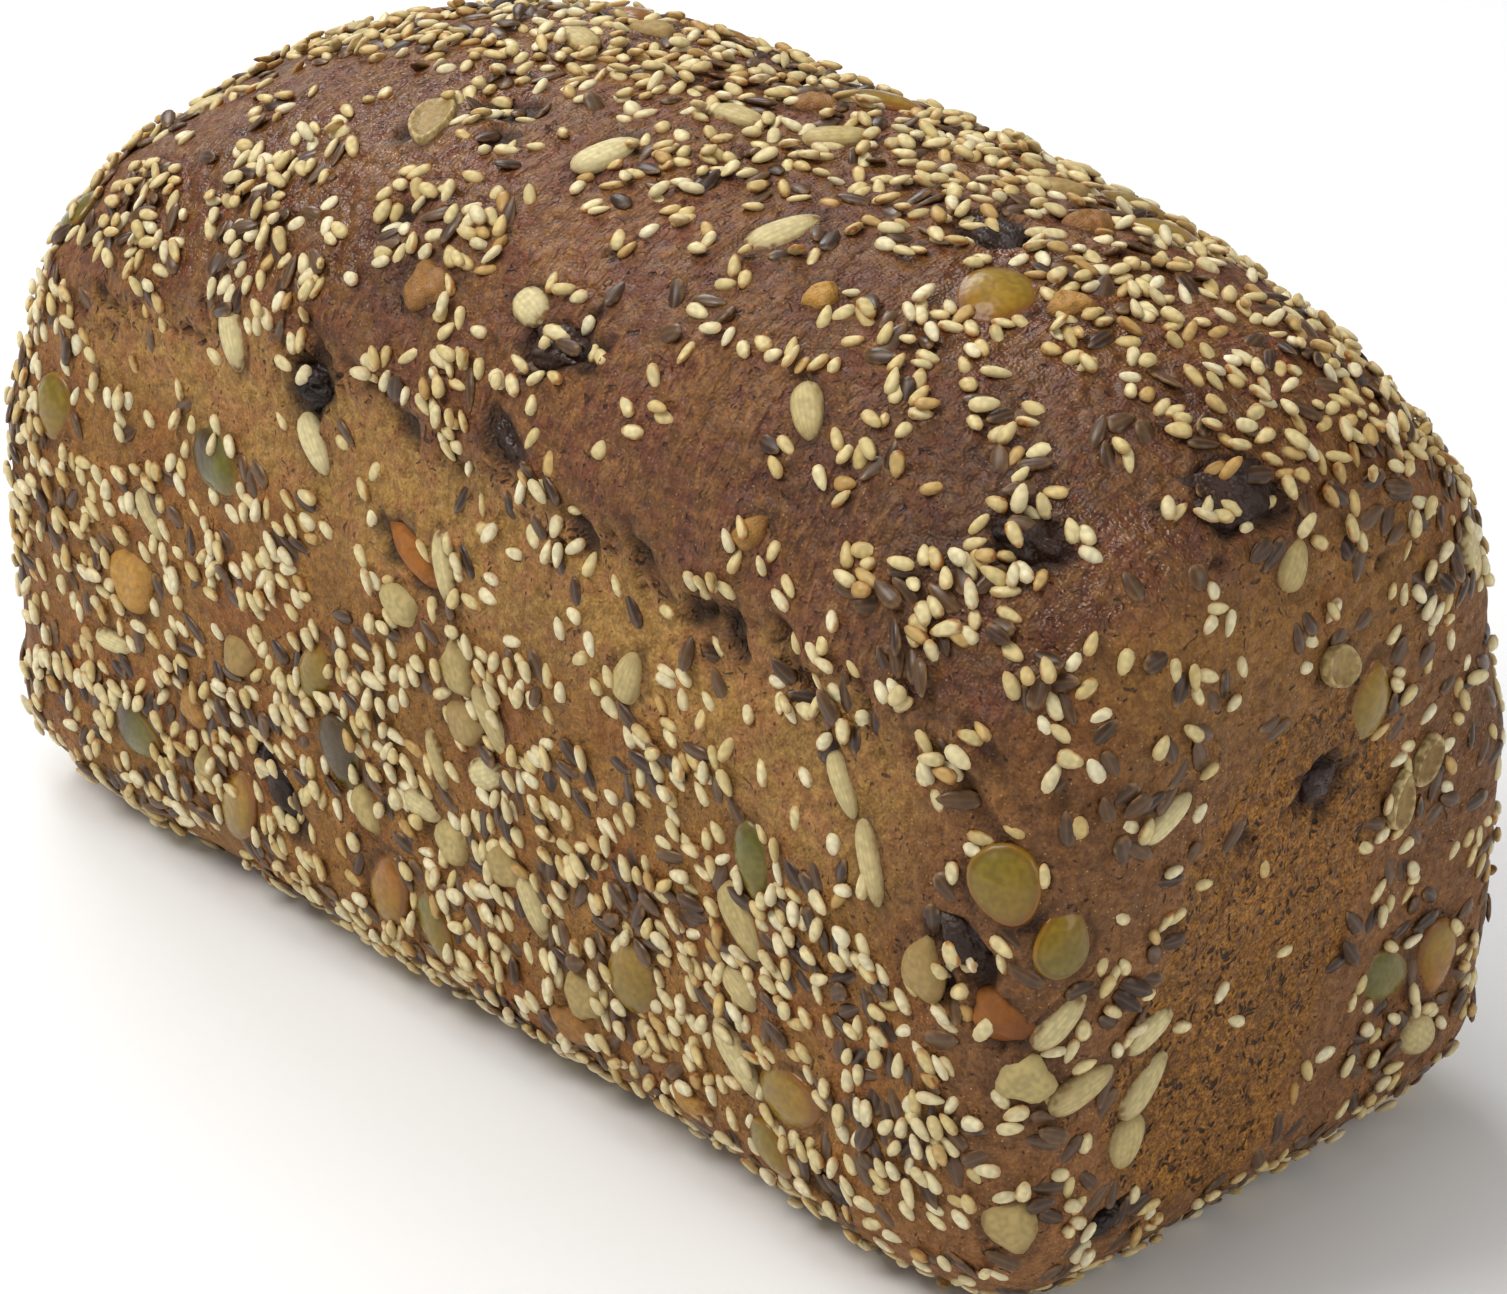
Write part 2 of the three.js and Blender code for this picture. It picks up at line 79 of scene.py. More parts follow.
# Large pieces, [across, up, turn, long, wide], on the face named: near and front are the long side
# and the end that the camera sees, crown is the top, far and back are hidden.
CHOSEN = {
    "near": {
        "pumpkin": [
            (-85, 66, -86, 10, 8), (-48, 71, -23, 12, 8.5), (-68, 21, -23, 11, 9.5),
            (-45, 19, 68, 13, 8), (-26, 48, 70, 11, 6.5), (-22, 37, -83, 12, 8),
            (-13, 19, 75, 11.5, 8), (-4, 17, -55, 11.5, 7.5), (36, 28, 76, 12.5, 9),
            (59, 55, -74, 12, 6), (66, 24, 18, 12.5, 9), (62, 14, -51, 9, 7),
            (97, 67, -63, 10.5, 9),
        ],
        "kernel": [
            (-27, 81, -49, 9, 4.5), (1, 74, -65, 10, 4), (10, 54, -69, 13, 4.5),
            (8, 46, 31, 8, 5), (16, 30, -58, 11, 5), (36, 72, 70, 8, 5),
            (-45, 90, -61, 9.5, 5), (79, 64, -65, 11, 3.5), (57, 46, -52, 11, 6),
            (56, 25, -45, 12, 5.5), (57, 36, -30, 7, 4.5), (-72, 34, 2, 8, 3.5),
            (-62, 58, -54, 8, 3.5), (-2, 44, -71, 9.5, 3), (-6, 35, -12, 7, 4.5),
            (73, 72, -53, 9, 3.5),
        ],
        "bean": [
            (-8, 65, 7, 7.5, 6.5), (3, 60, 71, 9, 7.5), (4, 52, 27, 9, 6.5), (0, 32, 21, 7.5, 7),
            (11, 33, -10, 7.5, 6.5), (88, 53, 86, 9, 7), (-17, 30, -61, 8, 5),
            (26, 20, -3, 7.5, 7.5), (-42, 44, 13, 7, 6), (-52, 22, 81, 7, 4.5),
        ],
        "kibble": [
            (-67, 46, 10, 11, 10), (-54, 31, 85, 7.5, 6.5), (24, 14, -3, 9, 6),
            (46, 13, 5, 8, 5), (53, 97, 47, 6, 4), (-12, 107, 9, 8, 7),
        ],
    },
    "front": {
        "pumpkin": [
            (-41, 60, 75, 9.5, 7), (12, 74, 83, 11.5, 8), (20, 30, -27, 10.5, 8),
            (31, 28, -84, 13, 7.5),
        ],
        "kernel": [
            (-27, 73, 32, 8.5, 3.5), (-41, 49, 50, 9.5, 4.5), (-37, 38, 17, 10, 5.5),
            (-26, 42, 30, 8.5, 4.5), (-26, 34, 44, 10.5, 5), (-28, 26, -88, 8.5, 6),
            (33, 86, -67, 9, 5), (29, 17, -41, 9, 6.5), (-4, 98, 46, 7, 5),
        ],
        "husk": [(4, 82, -31, 8, 5.5), (19, 57, 86, 8.5, 4.2), (24, 61, 73, 7.5, 4.5)],
        "bean": [(-44, 41, -33, 7.5, 7), (-44, 19, -58, 8, 7)],
    },
    "crown": {
        "pumpkin": [(60, -11, -77, 11, 10)],
        "kernel": [
            (-4, -17, 88, 11, 5.5), (29, -17, 78, 11, 6), (53, -36, -54, 8, 4.5),
            (6, -39, -25, 7, 5),
        ],
        "husk": [(-33, -22, -51, 12, 6.5)],
        "kibble": [(43, -24, 78, 5, 4.5), (68, -6, 41, 6.5, 5)],
    },
}
FRUIT = {
    "raisin": {
        "near": [
            (-28, 89, -3, 9, 7), (13, 107, 13, 11, 6.5), (11, 94, -26, 9, 6),
            (93, 59, -43, 8, 5.5), (-36, 27, -57, 14, 5.5), (73, 13, 1, 7, 4.5),
        ],
        "front": [(3, 66, -16, 8.5, 7), (-30, 15, -6, 8, 4.5), (-9, 108, -9, 13, 9)],
        "crown": [
            (87, -33, 17, 9, 6), (50, 0, -17, 9, 8), (-60, 14, 40, 11, 7), (-8, 24, -20, 10, 7),
        ],
        "far": [
            (-70, 62, 20, 11, 7), (-20, 34, -40, 12, 7), (38, 78, 10, 10, 6.5),
            (74, 30, 60, 11, 6),
        ],
        "back": [(-18, 70, 30, 11, 7), (22, 36, -50, 10, 6.5)],
    },
    "orange": {
        "near": [(-6, 73, -28, 13, 5.5), (98, 49, -15, 9, 6.5)],
        "far": [(6, 62, 35, 11, 6)],
        "back": [(8, 90, -20, 10, 6)],
    },
}
FRUIT_DEPTH = {"raisin": 6.0, "orange": 5.0}
FRUIT_PROUD = {"raisin": 0.15, "orange": 0.4}
FRUIT_WRINKLE = {"raisin": 1.5, "orange": 0.25}
FRUIT_AROUND, FRUIT_BANDS = 40, 24
PITS = {
    "near": [(26, 88, -35, 7, 4), (52, 84, -60, 8, 4.5)],
    "crown": [(-25, -15, 11, 11, 7), (-23, -37, 50, 7, 5)],
    "far": [(-40, 86, 20, 8, 5)],
}
SPREAD = {
    "far": (48, (-96, 96), (12, 108)),
    "back": (26, (-42, 42), (12, 104)),
    "crown": (20, (-88, 88), (-4, 34)),
}
SPREAD_ORDER = ["kernel", "bean", "kernel", "pumpkin", "kernel", "pumpkin", "kibble"]
SPREAD_SIZE = {"pumpkin": (11.5, 8), "kernel": (9.5, 5), "bean": (7.5, 6.5), "kibble": (7.5, 6)}
SPREAD_ROOM = 1.5
EVEN_STEP = (0.7548776662466927, 0.5698402909980532)
TURN_STEP = 137.5

# How ripe each chosen pumpkin seed looks, from 0 dark green to 1 amber, in the order above.
PUMPKIN_TONES = {
    "near": [0.60, 0.14, 0.17, 0.78, 0.62, 0.00, 0.95, 0.50, 0.70, 0.30, 0.76, 0.60, 0.60],
    "front": [0.55, 0.70, 0.30, 0.92],
    "crown": [0.80],
}

# ---- Fine crust ---------------------------------------------------------------------------------

CRUST_CELL = 1.14
# Where the crust turns from the long side to the end, from the top to the side, and where the torn
# band fades out towards the corners.
END_FROM, END_TO = 90, 102
SIDE_FROM, SIDE_TO = 36, 45
BAND_FADE_FROM, BAND_FADE_TO = 74, 97
# The bare patch on each end: its middle, its half sizes, and how it leans as it rises.
BARE_ACROSS, BARE_UP, BARE_HALF_WIDE, BARE_HALF_TALL, BARE_LEAN = -6, 45, 21, 34, 0.28
# The height of the dark skin's edge on the ends, and the radius that the dome is unrolled at.
CROWN_EDGE_ON_END = 103
DOME_RADIUS = 52
# Heights of what stands out from the plain loaf, and depths of what is sunk in it.
LUMPS, FINE_LUMPS, STREAKS, TOP_SETTLED = 0.32, 0.16, 0.12, 0.45
TEAR_LIFT, TEAR_DEPTH, BAND_ROUGHNESS, CROWN_LIP = 0.35, 1.9, 0.30, 0.75
BARE_ROUGHNESS, BARE_SUNK = 0.20, 0.25
FRUIT_SUNK, FRUIT_LIP, PIT_SUNK, GROOVE = 1.3, 0.4, 1.7, 0.45
# Heights along the near side, as (x, z): where the crown's dark skin ends, and where the thickly
# seeded wall begins below the bare torn band.
CROWN_LINE = [
    (-104, 79), (-85, 83), (-75, 87), (-52, 93), (-25, 97), (-11, 96), (0, 92), (20, 92), (37, 90),
    (60, 87), (80, 85), (92, 79), (104, 74),
]
WALL_LINE = [
    (-104, 70), (-85, 72), (-49, 76), (-30, 70), (-13, 66), (25, 66), (51, 65), (75, 60), (104, 58),
]
SMALL_HOLES = [
    # Torn holes in the band, as (face, across, up, radius, depth).
    ("near", -8, 90, 2.2, 1.6), ("near", 37, 89, 2.0, 1.4), ("near", 46, 84, 2.4, 1.6),
    ("near", 62, 87, 1.6, 1.3), ("near", 66, 82, 1.8, 1.3), ("near", 49, 80, 1.3, 1.0),
    ("near", -27, 93, 2.6, 1.6), ("near", -76, 86, 1.3, 1.0), ("near", 96, 55, 3.0, 2.2),
    ("near", 91, 52, 2.0, 1.4), ("front", 12, 93, 1.2, 1.2), ("front", -12, 64, 1.5, 1.0),
    ("front", 18, 92, 0.9, 0.9), ("front", -25, 57, 1.4, 0.9), ("crown", -34, -24, 3.2, 1.3),
    ("crown", -20, -21, 3.0, 1.4), ("crown", 12, -30, 1.4, 0.9),
]
FOLDS = [
    # Creases in the skin near the corner and in the band: ends as (face, across, up), width, depth.
    (("near", 83, 88), ("near", 97, 70), 1.3, 0.9),
    (("near", 90, 86), ("near", 98, 77), 1.0, 0.7),
    (("front", -38, 92), ("front", -40, 78), 1.2, 0.8),
    (("near", 46, 88), ("near", 50, 79), 1.0, 0.8),
    (("near", 60, 89), ("near", 67, 80), 1.2, 0.9),
    (("near", 34, 92), ("near", 41, 84), 1.1, 0.8),
    (("near", -30, 97), ("near", -14, 93), 1.4, 0.6),
]
# Darker, more baked places: (centre, radius, share).
SCORCHED = [
    ((78, -35, 107), 17, 1.0), ((97, -22, 106), 9, 0.3), ((62, -38, 106), 14, 0.8),
    ((80, -43, 95), 13, 0.4), ((95, -38, 90), 11, 0.4), ((102, -36, 78), 8, 0.5),
    ((90, -47, 62), 13, 0.35), ((101, -46, 44), 10, 0.4), ((106, 34, 78), 16, 0.2),
    ((106, 42, 58), 14, 0.5), ((-70, -30, 108), 12, 0.5), ((-20, -40, 108), 10, 0.6),
    ((-40, 40, 104), 22, 0.8), ((-96, -6, 104), 16, 0.8), ((30, 42, 104), 18, 0.7),
    ((-104, 20, 70), 16, 0.6), ((56, -22, 116), 36, 0.25), ((88, -14, 112), 14, 0.5),
]
# Places on the crown where its skin shines, as (centre, radius, share).
GLOSSY = [
    ((-50, -26, 113), 32, 1.0), ((98, -29, 101), 13, 1.0), ((64, -8, 121), 16, 0.7),
    ((96, -2, 110), 12, 0.6), ((12, -34, 115), 9, 0.25), ((-50, 28, 110), 34, 0.8),
    ((34, 34, 108), 30, 0.7),
]

# ---- Small seeds --------------------------------------------------------------------------------

# Sizes, and the share of its thickness that each is sunk in the walls and in the crown.
SESAME = dict(
    shape="sesame", long=3.35, wide=1.9, thick=1.15, sunk_in_wall=0.50, sunk_in_crown=0.36)
LINSEED = dict(
    shape="linseed", long=4.8, wide=2.35, thick=0.95, sunk_in_wall=0.60, sunk_in_crown=0.42)
# Seeds for each square centimetre of crust, by zone.
SESAME_RATE = dict(wall=9.8, band=0.8, crown=3.6, ridge=10.5, end=1.6, bare=0.05)
LINSEED_RATE = dict(wall=1.25, band=0.14, crown=0.46, ridge=0.90, end=0.90, bare=0.03)
# More are sown than lie there in the end, because many would run through others.
OVERSOWN = 3.0
SOWING_TRIES = 90000
LAYING_TRIES = 4
# A small seed keeps others off with three balls, each this share of its width in radius. Large
# seeds and fruit do so with rows of balls, over this share of their size.
BALL_SHARE = 0.27
TAKEN_BALL, TAKEN_STEP = 0.7, 1.2
TAKEN_BY_SEED, TAKEN_BY_FRUIT, TAKEN_BY_CROWN_FRUIT = 0.88, 0.9, 0.35
# How far above and below its place a seed looks for the fine crust.
LOOK_ABOVE, LOOK_BELOW = 6, 8
# The way most small seeds lie on the long sides: turn, how much it wanders, and its spread.
LEAN, LEAN_SWIRL, LEAN_SPREAD = math.radians(122), 0.9, 0.55
# Numbers that start the random draws and the noises of the pieces.
DRAW = dict(
    fruit=71, linseed_places=81, linseed_sizes=82, sesame_places=83, sesame_kinds=84,
    sesame_sizes=85)
# Drifts where seeds lie thicker (above 1) or thinner: middle, radius, factor.
DRIFTS = [
    # On the crown and its edges.
    ((-61, -29, 111), 9, 2.0), ((-75, -40, 97), 8, 2.2), ((-50, -40, 104), 12, 2.6),
    ((-31, -42, 105), 7, 1.8), ((-30, -46, 97), 6, 1.8), ((19, -13, 124), 9, 2.6),
    ((42, -11, 123), 9, 2.0), ((50, -26, 118), 12, 1.5), ((62, -36, 110), 7, 1.8),
    ((75, -22, 115), 12, 1.7), ((78, -40, 102), 12, 3.0), ((70, -46, 93), 8, 2.4),
    ((98, -36, 93), 6, 3.4), ((97, -8, 111), 9, 2.6), ((101, 12, 107), 8, 1.8),
    ((-43, -22, 118), 12, 0.35), ((-20, -24, 119), 14, 0.30), ((8, -31, 118), 14, 0.25),
    ((24, -32, 115), 12, 0.25), ((44, -45, 101), 12, 0.22), ((-13, -45, 101), 10, 0.5),
    ((25, -42, 106), 10, 0.4), ((93, -30, 104), 8, 0.35), ((104, -2, 101), 9, 0.3),
    ((88, -37, 98), 7, 2.2), ((104, 22, 96), 9, 5.0), ((-82, -30, 102), 12, 2.2),
    ((-66, -8, 116), 14, 2.0), ((-40, -4, 121), 14, 1.6), ((64, 4, 121), 24, 0.75),
    ((13, -30, 118), 8, 0.5), ((67, -33, 112), 7, 0.5), ((56, -38, 109), 6, 0.4),
    ((48, -46, 97), 6, 0.2), ((62, -43, 101), 7, 0.5), ((98, 1, 112), 6, 0.5),
    ((102, 34, 90), 8, 3.0), ((76, -36, 107), 7, 0.15), ((-67, -8, 116), 13, 1.7),
    ((-86, -28, 102), 11, 2.0), ((60, 20, 118), 11, 1.8), ((102, 34, 90), 9, 2.0),
    # On the near side.
    ((-52, -51, 52), 9, 2.6), ((-66, -51, 39), 8, 2.2), ((-29, -51, 71), 7, 2.6),
    ((-15, -51, 54), 6, 1.7), ((13, -51, 68), 6, 1.6), ((24, -51, 61), 6, 1.5),
    ((-25, -51, 25), 10, 1.6), ((-42, -51, 31), 8, 1.6), ((-4, -51, 23), 8, 1.6),
    ((17, -51, 42), 9, 1.1), ((28, -51, 32), 10, 1.9), ((3, -50, 16), 9, 1.5),
    ((36, -51, 43), 7, 2.6), ((50, -50, 70), 5, 3.0), ((39, -50, 19), 10, 1.6),
    ((60, -51, 33), 9, 1.9), ((74, -51, 43), 9, 3.2), ((82, -50, 32), 10, 2.4),
    ((78, -50, 15), 10, 1.2), ((90, -49, 21), 8, 1.8), ((66, -50, 81), 7, 25.0),
    ((-21, -51, 65), 9, 0.1), ((-84, -50, 37), 8, 0.4), ((34, -51, 54), 8, 0.12),
    ((44, -51, 53), 7, 0.3), ((52, -51, 56), 6, 0.4), ((78, -51, 60), 9, 0.4),
    ((94, -49, 40), 6, 0.25), ((86, -50, 44), 4, 0.5), ((30, -51, 60), 7, 0.4),
    ((84, -49, 71), 10, 0.15), ((96, -44, 72), 9, 0.25), ((86, -49, 60), 8, 0.25),
    ((99, -46, 40), 10, 0.5), ((99, -46, 22), 10, 0.5), ((95, -44, 7), 11, 0.4),
    ((-74, -48, 78), 10, 0.3), ((72, -50, 11), 8, 0.6), ((-64, -51, 50), 8, 2.2),
    ((0, -51, 52), 7, 2.0), ((44, -50, 6), 18, 0.55), ((76, -50, 6), 18, 0.55),
    ((-10, -51, 36), 6, 0.5), ((-34, -51, 56), 8, 0.5), ((28, -51, 66), 8, 0.4),
    ((54, -51, 47), 9, 0.4), ((54, -50, 18), 8, 0.5), ((86, -50, 61), 7, 0.4),
    ((-62, -51, 42), 7, 1.6), ((99, -47, 53), 7, 0.4), ((-20, -51, 58), 7, 0.5),
    ((-1, -51, 66), 6, 0.4), ((17, -50, 14), 8, 0.5), ((-8, -51, 46), 6, 0.5),
    ((54, -50, 16), 8, 0.6),
    # On the end.
    ((104, -20, 88), 8, 1.8), ((104, -15, 95), 6, 1.4), ((106, 22, 60), 8, 1.5),
    ((104, 22, 22), 8, 2.2), ((100, -42, 30), 12, 1.0), ((104, -24, 18), 9, 1.8),
    ((104, 4, 14), 10, 0.9), ((105, -32, 62), 9, 0.5), ((105, -38, 46), 6, 0.6),
]
# Share of each kind of sesame on the walls and on the crown.
SESAME_KINDS = {
    "sesame_ivory": (0.46, 0.22), "sesame_cream": (0.38, 0.40), "sesame_straw": (0.11, 0.28),
    "sesame_toasted": (0.05, 0.10),
}


# ---- Form ---------------------------------------------------------------------------------------

def smooth(value, low, high):
    t = np.clip((value - low) / (high - low), 0, 1)
    return t * t * (3 - 2 * t)


def section(z):
    """Half length, half width and exponent of the level section at each height."""
    t = np.clip((z - RIM_HEIGHT) / (HEIGHT - RIM_HEIGHT), 0, 1)
    draft = np.sin(np.pi / 2 * np.clip(z / RIM_HEIGHT, 0, 1))
    to_foot = np.clip(1 - z / FOOT_RADIUS, 0, 1)
    inset = FOOT_RADIUS * (1 - np.sqrt(1 - to_foot * to_foot))
    length = HALF_LENGTH_FOOT + (HALF_LENGTH_RIM - HALF_LENGTH_FOOT) * draft - inset
    width = HALF_WIDTH_FOOT + (HALF_WIDTH_RIM - HALF_WIDTH_FOOT) * draft - inset
    a = length * (1 - t ** LENGTH_POWER) ** (1 / LENGTH_POWER)
    b = width * (1 - t ** WIDTH_POWER) ** (1 / WIDTH_POWER)
    n = SQUARE_LOW + (SQUARE_HIGH - SQUARE_LOW) * t ** 0.7
    return a, b, n


def unsag(x, y, z):
    """The height before the dome sagged towards its ends."""
    u = x / HALF_LENGTH_RIM
    v = y / HALF_WIDTH_RIM
    lift = SAG_SLOPE * u + SAG_HOLLOW * u * u + SAG_ACROSS * v + SAG_TWIST * u ** 3
    rise = HEIGHT - RIM_HEIGHT
    return np.where(z <= RIM_HEIGHT, z, (z + lift * RIM_HEIGHT / rise) / (1 + lift / rise))


def relief(x, y, z):
    """Slow lumps all over the loaf, the shallow torn band under the crown, and the dents."""
    lumps = (
        0.6 * np.sin(x / 17 + 1.1) * np.cos(z / 14 + 0.4)
        + 0.4 * np.sin(y / 11 + z / 19)
        + 0.3 * np.cos(x / 9 - y / 13)
        - 0.5
    )
    band_height = BAND_HEIGHT + BAND_WAVE * np.sin(x / 31 + 0.6) - BAND_DROOP * x * x
    in_band = np.exp(-(((z - band_height) / BAND_HALF_HEIGHT) ** 2))
    band = BAND_DEPTH * in_band * smooth(np.abs(y), 30, 44)
    dents = np.zeros_like(x)
    for (dx, dy, dz), radius, depth in DENTS:
        away = (x - dx) ** 2 + (y - dy) ** 2 + (z - dz) ** 2
        dents = dents + depth * np.exp(-away / radius ** 2)
    return (lumps - band) * smooth(z, FLAT_FOOT, 14) - dents


def is_inside(points):
    x, y, z = points.T
    spine_x = np.clip(x, -SPINE_HALF_LENGTH, SPINE_HALF_LENGTH)
    reach = np.sqrt((x - spine_x) ** 2 + y ** 2 + (z - SPINE_HEIGHT) ** 2)
    k = 1 - relief(x, y, z) / np.maximum(reach, 1)
    px = spine_x + (x - spine_x) * k
    py = y * k
    pz = np.maximum(0, SPINE_HEIGHT + (z - SPINE_HEIGHT) * k)
    height = unsag(px, py, pz)
    under = height < HEIGHT
    a, b, n = section(np.clip(height, 0, HEIGHT - 1e-6))
    outline = (np.abs(px) / a) ** n + (np.abs(py) / b) ** n
    return (z >= 0) & under & (outline < 1)


def surface_between(start, end):
    """The last point inside the loaf on each way from a start, inside it, to an end outside."""
    low = np.zeros(len(start))
    high = np.ones(len(start))
    for _ in range(26):
        mid = (low + high) / 2
        inside = is_inside(start + (end - start) * mid[:, None])
        low = np.where(inside, mid, low)
        high = np.where(inside, high, mid)
    return start + (end - start) * low[:, None]


def lattice(ix, iy, iz, seed):
    """A number from 0 to 1 that belongs to each point of a lattice."""
    h = (
        ix.astype(np.uint32) * np.uint32(0x8DA6B343)
        ^ iy.astype(np.uint32) * np.uint32(0xD8163841)
        ^ iz.astype(np.uint32) * np.uint32(0xCB1AB31F)
        ^ np.uint32(seed * 2654435761 % 2**32)
    )
    h ^= h >> np.uint32(15)
    h *= np.uint32(0x2C1B3C6D)
    h ^= h >> np.uint32(12)
    h *= np.uint32(0x297A2D39)
    h ^= h >> np.uint32(15)
    return h / 2**32


def noise(points, size, seed):
    """Smooth noise from -1 to 1 with features about size across, one number or one for each axis."""
    scaled = points / np.asarray(size, float)
    floor = np.floor(scaled)
    f = scaled - floor
    f = f * f * (3 - 2 * f)
    floor = floor.astype(np.int64)
    total = np.zeros(len(points))
    for corner in range(8):
        step = np.array([corner & 1, corner >> 1 & 1, corner >> 2 & 1])
        weight = np.where(step, f, 1 - f).prod(axis=1)
        total += weight * lattice(*(floor + step).T, seed)
    return 2 * total - 1


def layered_noise(points, size, seed, layers=3):
    total = np.zeros(len(points))
    size = np.asarray(size, float)
    for layer in range(layers):
        total += noise(points, size / 2 ** layer, seed + layer) / 2 ** layer
    return total / 1.5


# ---- Places on the loaf -------------------------------------------------------------------------

RAYS = {
    "near": (lambda u, v: ((u, 0, v), (u, -90, v)), (1, 0, 0), (0, 0, 1)),
    "far": (lambda u, v: ((u, 0, v), (u, 90, v)), (1, 0, 0), (0, 0, 1)),
    "front": (lambda u, v: ((0, u, v), (150, u, v)), (0, 1, 0), (0, 0, 1)),
    "back": (lambda u, v: ((0, u, v), (-150, u, v)), (0, 1, 0), (0, 0, 1)),
    "crown": (lambda u, v: ((u, v, 40), (u, v, 160)), (1, 0, 0), (0, 1, 0)),
}


def on_face(face, u, v):
    start, end = RAYS[face][0](u, v)
    return surface_between(np.array([start], float), np.array([end], float))[0]


def unit(vector):
    return vector / np.linalg.norm(vector)


def place(face, u, v, turn):
    """The crust's frame at a place: centre, the way a turned piece lies, across it, outwards."""
    ray, along, up = RAYS[face]
    reach = 2
    normal = unit(np.cross(
        on_face(face, u + reach, v) - on_face(face, u - reach, v),
        on_face(face, u, v + reach) - on_face(face, u, v - reach),
    ))
    start, end = ray(u, v)
    if normal @ (np.array(end, float) - start) < 0:
        normal = -normal
    angle = math.radians(turn)
    long = np.array(along) * math.cos(angle) + np.array(up) * math.sin(angle)
    long = unit(long - normal * (long @ normal))
    return on_face(face, u, v), long, np.cross(normal, long), normal


def placed(byface):
    """Every piece of a table by face, with its frame."""
    return [
        (face, piece, place(face, *piece[:3]))
        for face, pieces in byface.items()
        for piece in pieces
    ]


def piece_radius(piece):
    return (piece[3] + piece[4]) / 4


def large_seeds():
    """Every large seed as (kind, piece, frame, tone): the chosen ones, then those a rule spreads."""
    seeds = []
    for face, kinds in CHOSEN.items():
        for kind, pieces in kinds.items():
            for index, piece in enumerate(pieces):
                tone = PUMPKIN_TONES[face][index] if kind == "pumpkin" else index * 0.37 % 1
                seeds.append((kind, piece, place(face, *piece[:3]), tone))
    taken = [(frame[0], piece_radius(piece)) for _, piece, frame, _ in seeds]
    for table in [*FRUIT.values(), PITS]:
        taken += [(frame[0], piece[3] / 2) for _, piece, frame in placed(table)]
    for face, (tries, across, up) in SPREAD.items():
        for k in range(1, tries + 1):
            kind = SPREAD_ORDER[k % len(SPREAD_ORDER)]
            u = across[0] + (across[1] - across[0]) * (k * EVEN_STEP[0] % 1)
            v = up[0] + (up[1] - up[0]) * (k * EVEN_STEP[1] % 1)
            piece = (u, v, k * TURN_STEP % 180 - 90, *SPREAD_SIZE[kind])
            frame = place(face, *piece[:3])
            room = piece_radius(piece) + SPREAD_ROOM
            if all(np.linalg.norm(frame[0] - at) > room + radius for at, radius in taken):
                taken.append((frame[0], piece_radius(piece)))
                tone = k * 0.61 % 1
                seeds.append((kind, piece, frame, 0.75 + tone / 4 if face == "crown" else tone))
    return seeds


# ---- The crust's mesh ---------------------------------------------------------------------------

def row_heights():
    foot_rows = round(FOOT_RADIUS * math.pi / 2 / CRUST_CELL)
    angles = np.linspace(0, np.pi / 2, foot_rows, endpoint=False)
    wall = 2 * SPINE_HEIGHT - FOOT_RADIUS
    even = np.linspace(0, wall, round(wall / CRUST_CELL) + 1)
    return np.concatenate([FOOT_RADIUS * (1 - np.cos(angles)), FOOT_RADIUS + even])


def aim(fx, fy, z):
    """Where cell corners aim, at fx and fy of the way from the axis to the wall at their height."""
    a, b, n = section(np.minimum(z, RIM_HEIGHT))
    edge = np.maximum(np.abs(fx), np.abs(fy))
    spread = (np.abs(fx) ** n + np.abs(fy) ** n) ** (1 / n)
    rounding = np.divide(edge, spread, out=np.zeros_like(edge), where=spread > 0)
    return np.stack([fx * rounding * a * AIM_INSIDE, fy * rounding * b * AIM_INSIDE, z], axis=1)


def plain_loaf():
    """Vertices and four-sided faces of the plain loaf, from a box of cells drawn on to it."""
    rows = row_heights()
    counts = (
        round(2 * HALF_LENGTH_RIM / CRUST_CELL),
        round(2 * HALF_WIDTH_RIM / CRUST_CELL),
        len(rows) - 1,
    )
    grid = np.indices([c + 1 for c in counts]).reshape(3, -1).T
    on_box = ((grid == 0) | (grid == counts)).any(axis=1)
    number = np.full([c + 1 for c in counts], -1)
    corners = grid[on_box]
    number[tuple(corners.T)] = np.arange(len(corners))
    targets = aim(
        2 * corners[:, 0] / counts[0] - 1,
        2 * corners[:, 1] / counts[1] - 1,
        rows[corners[:, 2]],
    )
    start = np.zeros_like(targets)
    start[:, 0] = np.clip(targets[:, 0], -SPINE_HALF_LENGTH, SPINE_HALF_LENGTH)
    start[:, 2] = SPINE_HEIGHT
    way = targets - start
    way /= np.linalg.norm(way, axis=1)[:, None]
    points = surface_between(start, start + way * FAR_OUT)
    points[corners[:, 2] == 0, 2] = 0
    faces = []
    for axis in range(3):
        u, v = (axis + 1) % 3, (axis + 2) % 3
        for side in (0, counts[axis]):
            i, j = np.indices((counts[u], counts[v])).reshape(2, -1)
            ring = []
            for di, dj in ((0, 0), (1, 0), (1, 1), (0, 1)):
                cell = np.zeros((len(i), 3), int)
                cell[:, axis] = side
                cell[:, u] = i + di
                cell[:, v] = j + dj
                ring.append(number[tuple(cell.T)])
            if side == 0:
                ring.reverse()
            faces.append(np.stack(ring, axis=1))
    return points, np.concatenate(faces)


def vertex_normals(points, faces):
    diagonal = points[faces[:, 2]] - points[faces[:, 0]]
    other = points[faces[:, 3]] - points[faces[:, 1]]
    face_normals = np.cross(diagonal, other)
    normals = np.zeros_like(points)
    for column in range(4):
        np.add.at(normals, faces[:, column], face_normals)
    return normals / np.linalg.norm(normals, axis=1)[:, None]


def distance_to_segment(points, start, end):
    way = end - start
    t = np.clip((points - start) @ way / (way @ way), 0, 1)
    return np.linalg.norm(points - start - t[:, None] * way, axis=1)


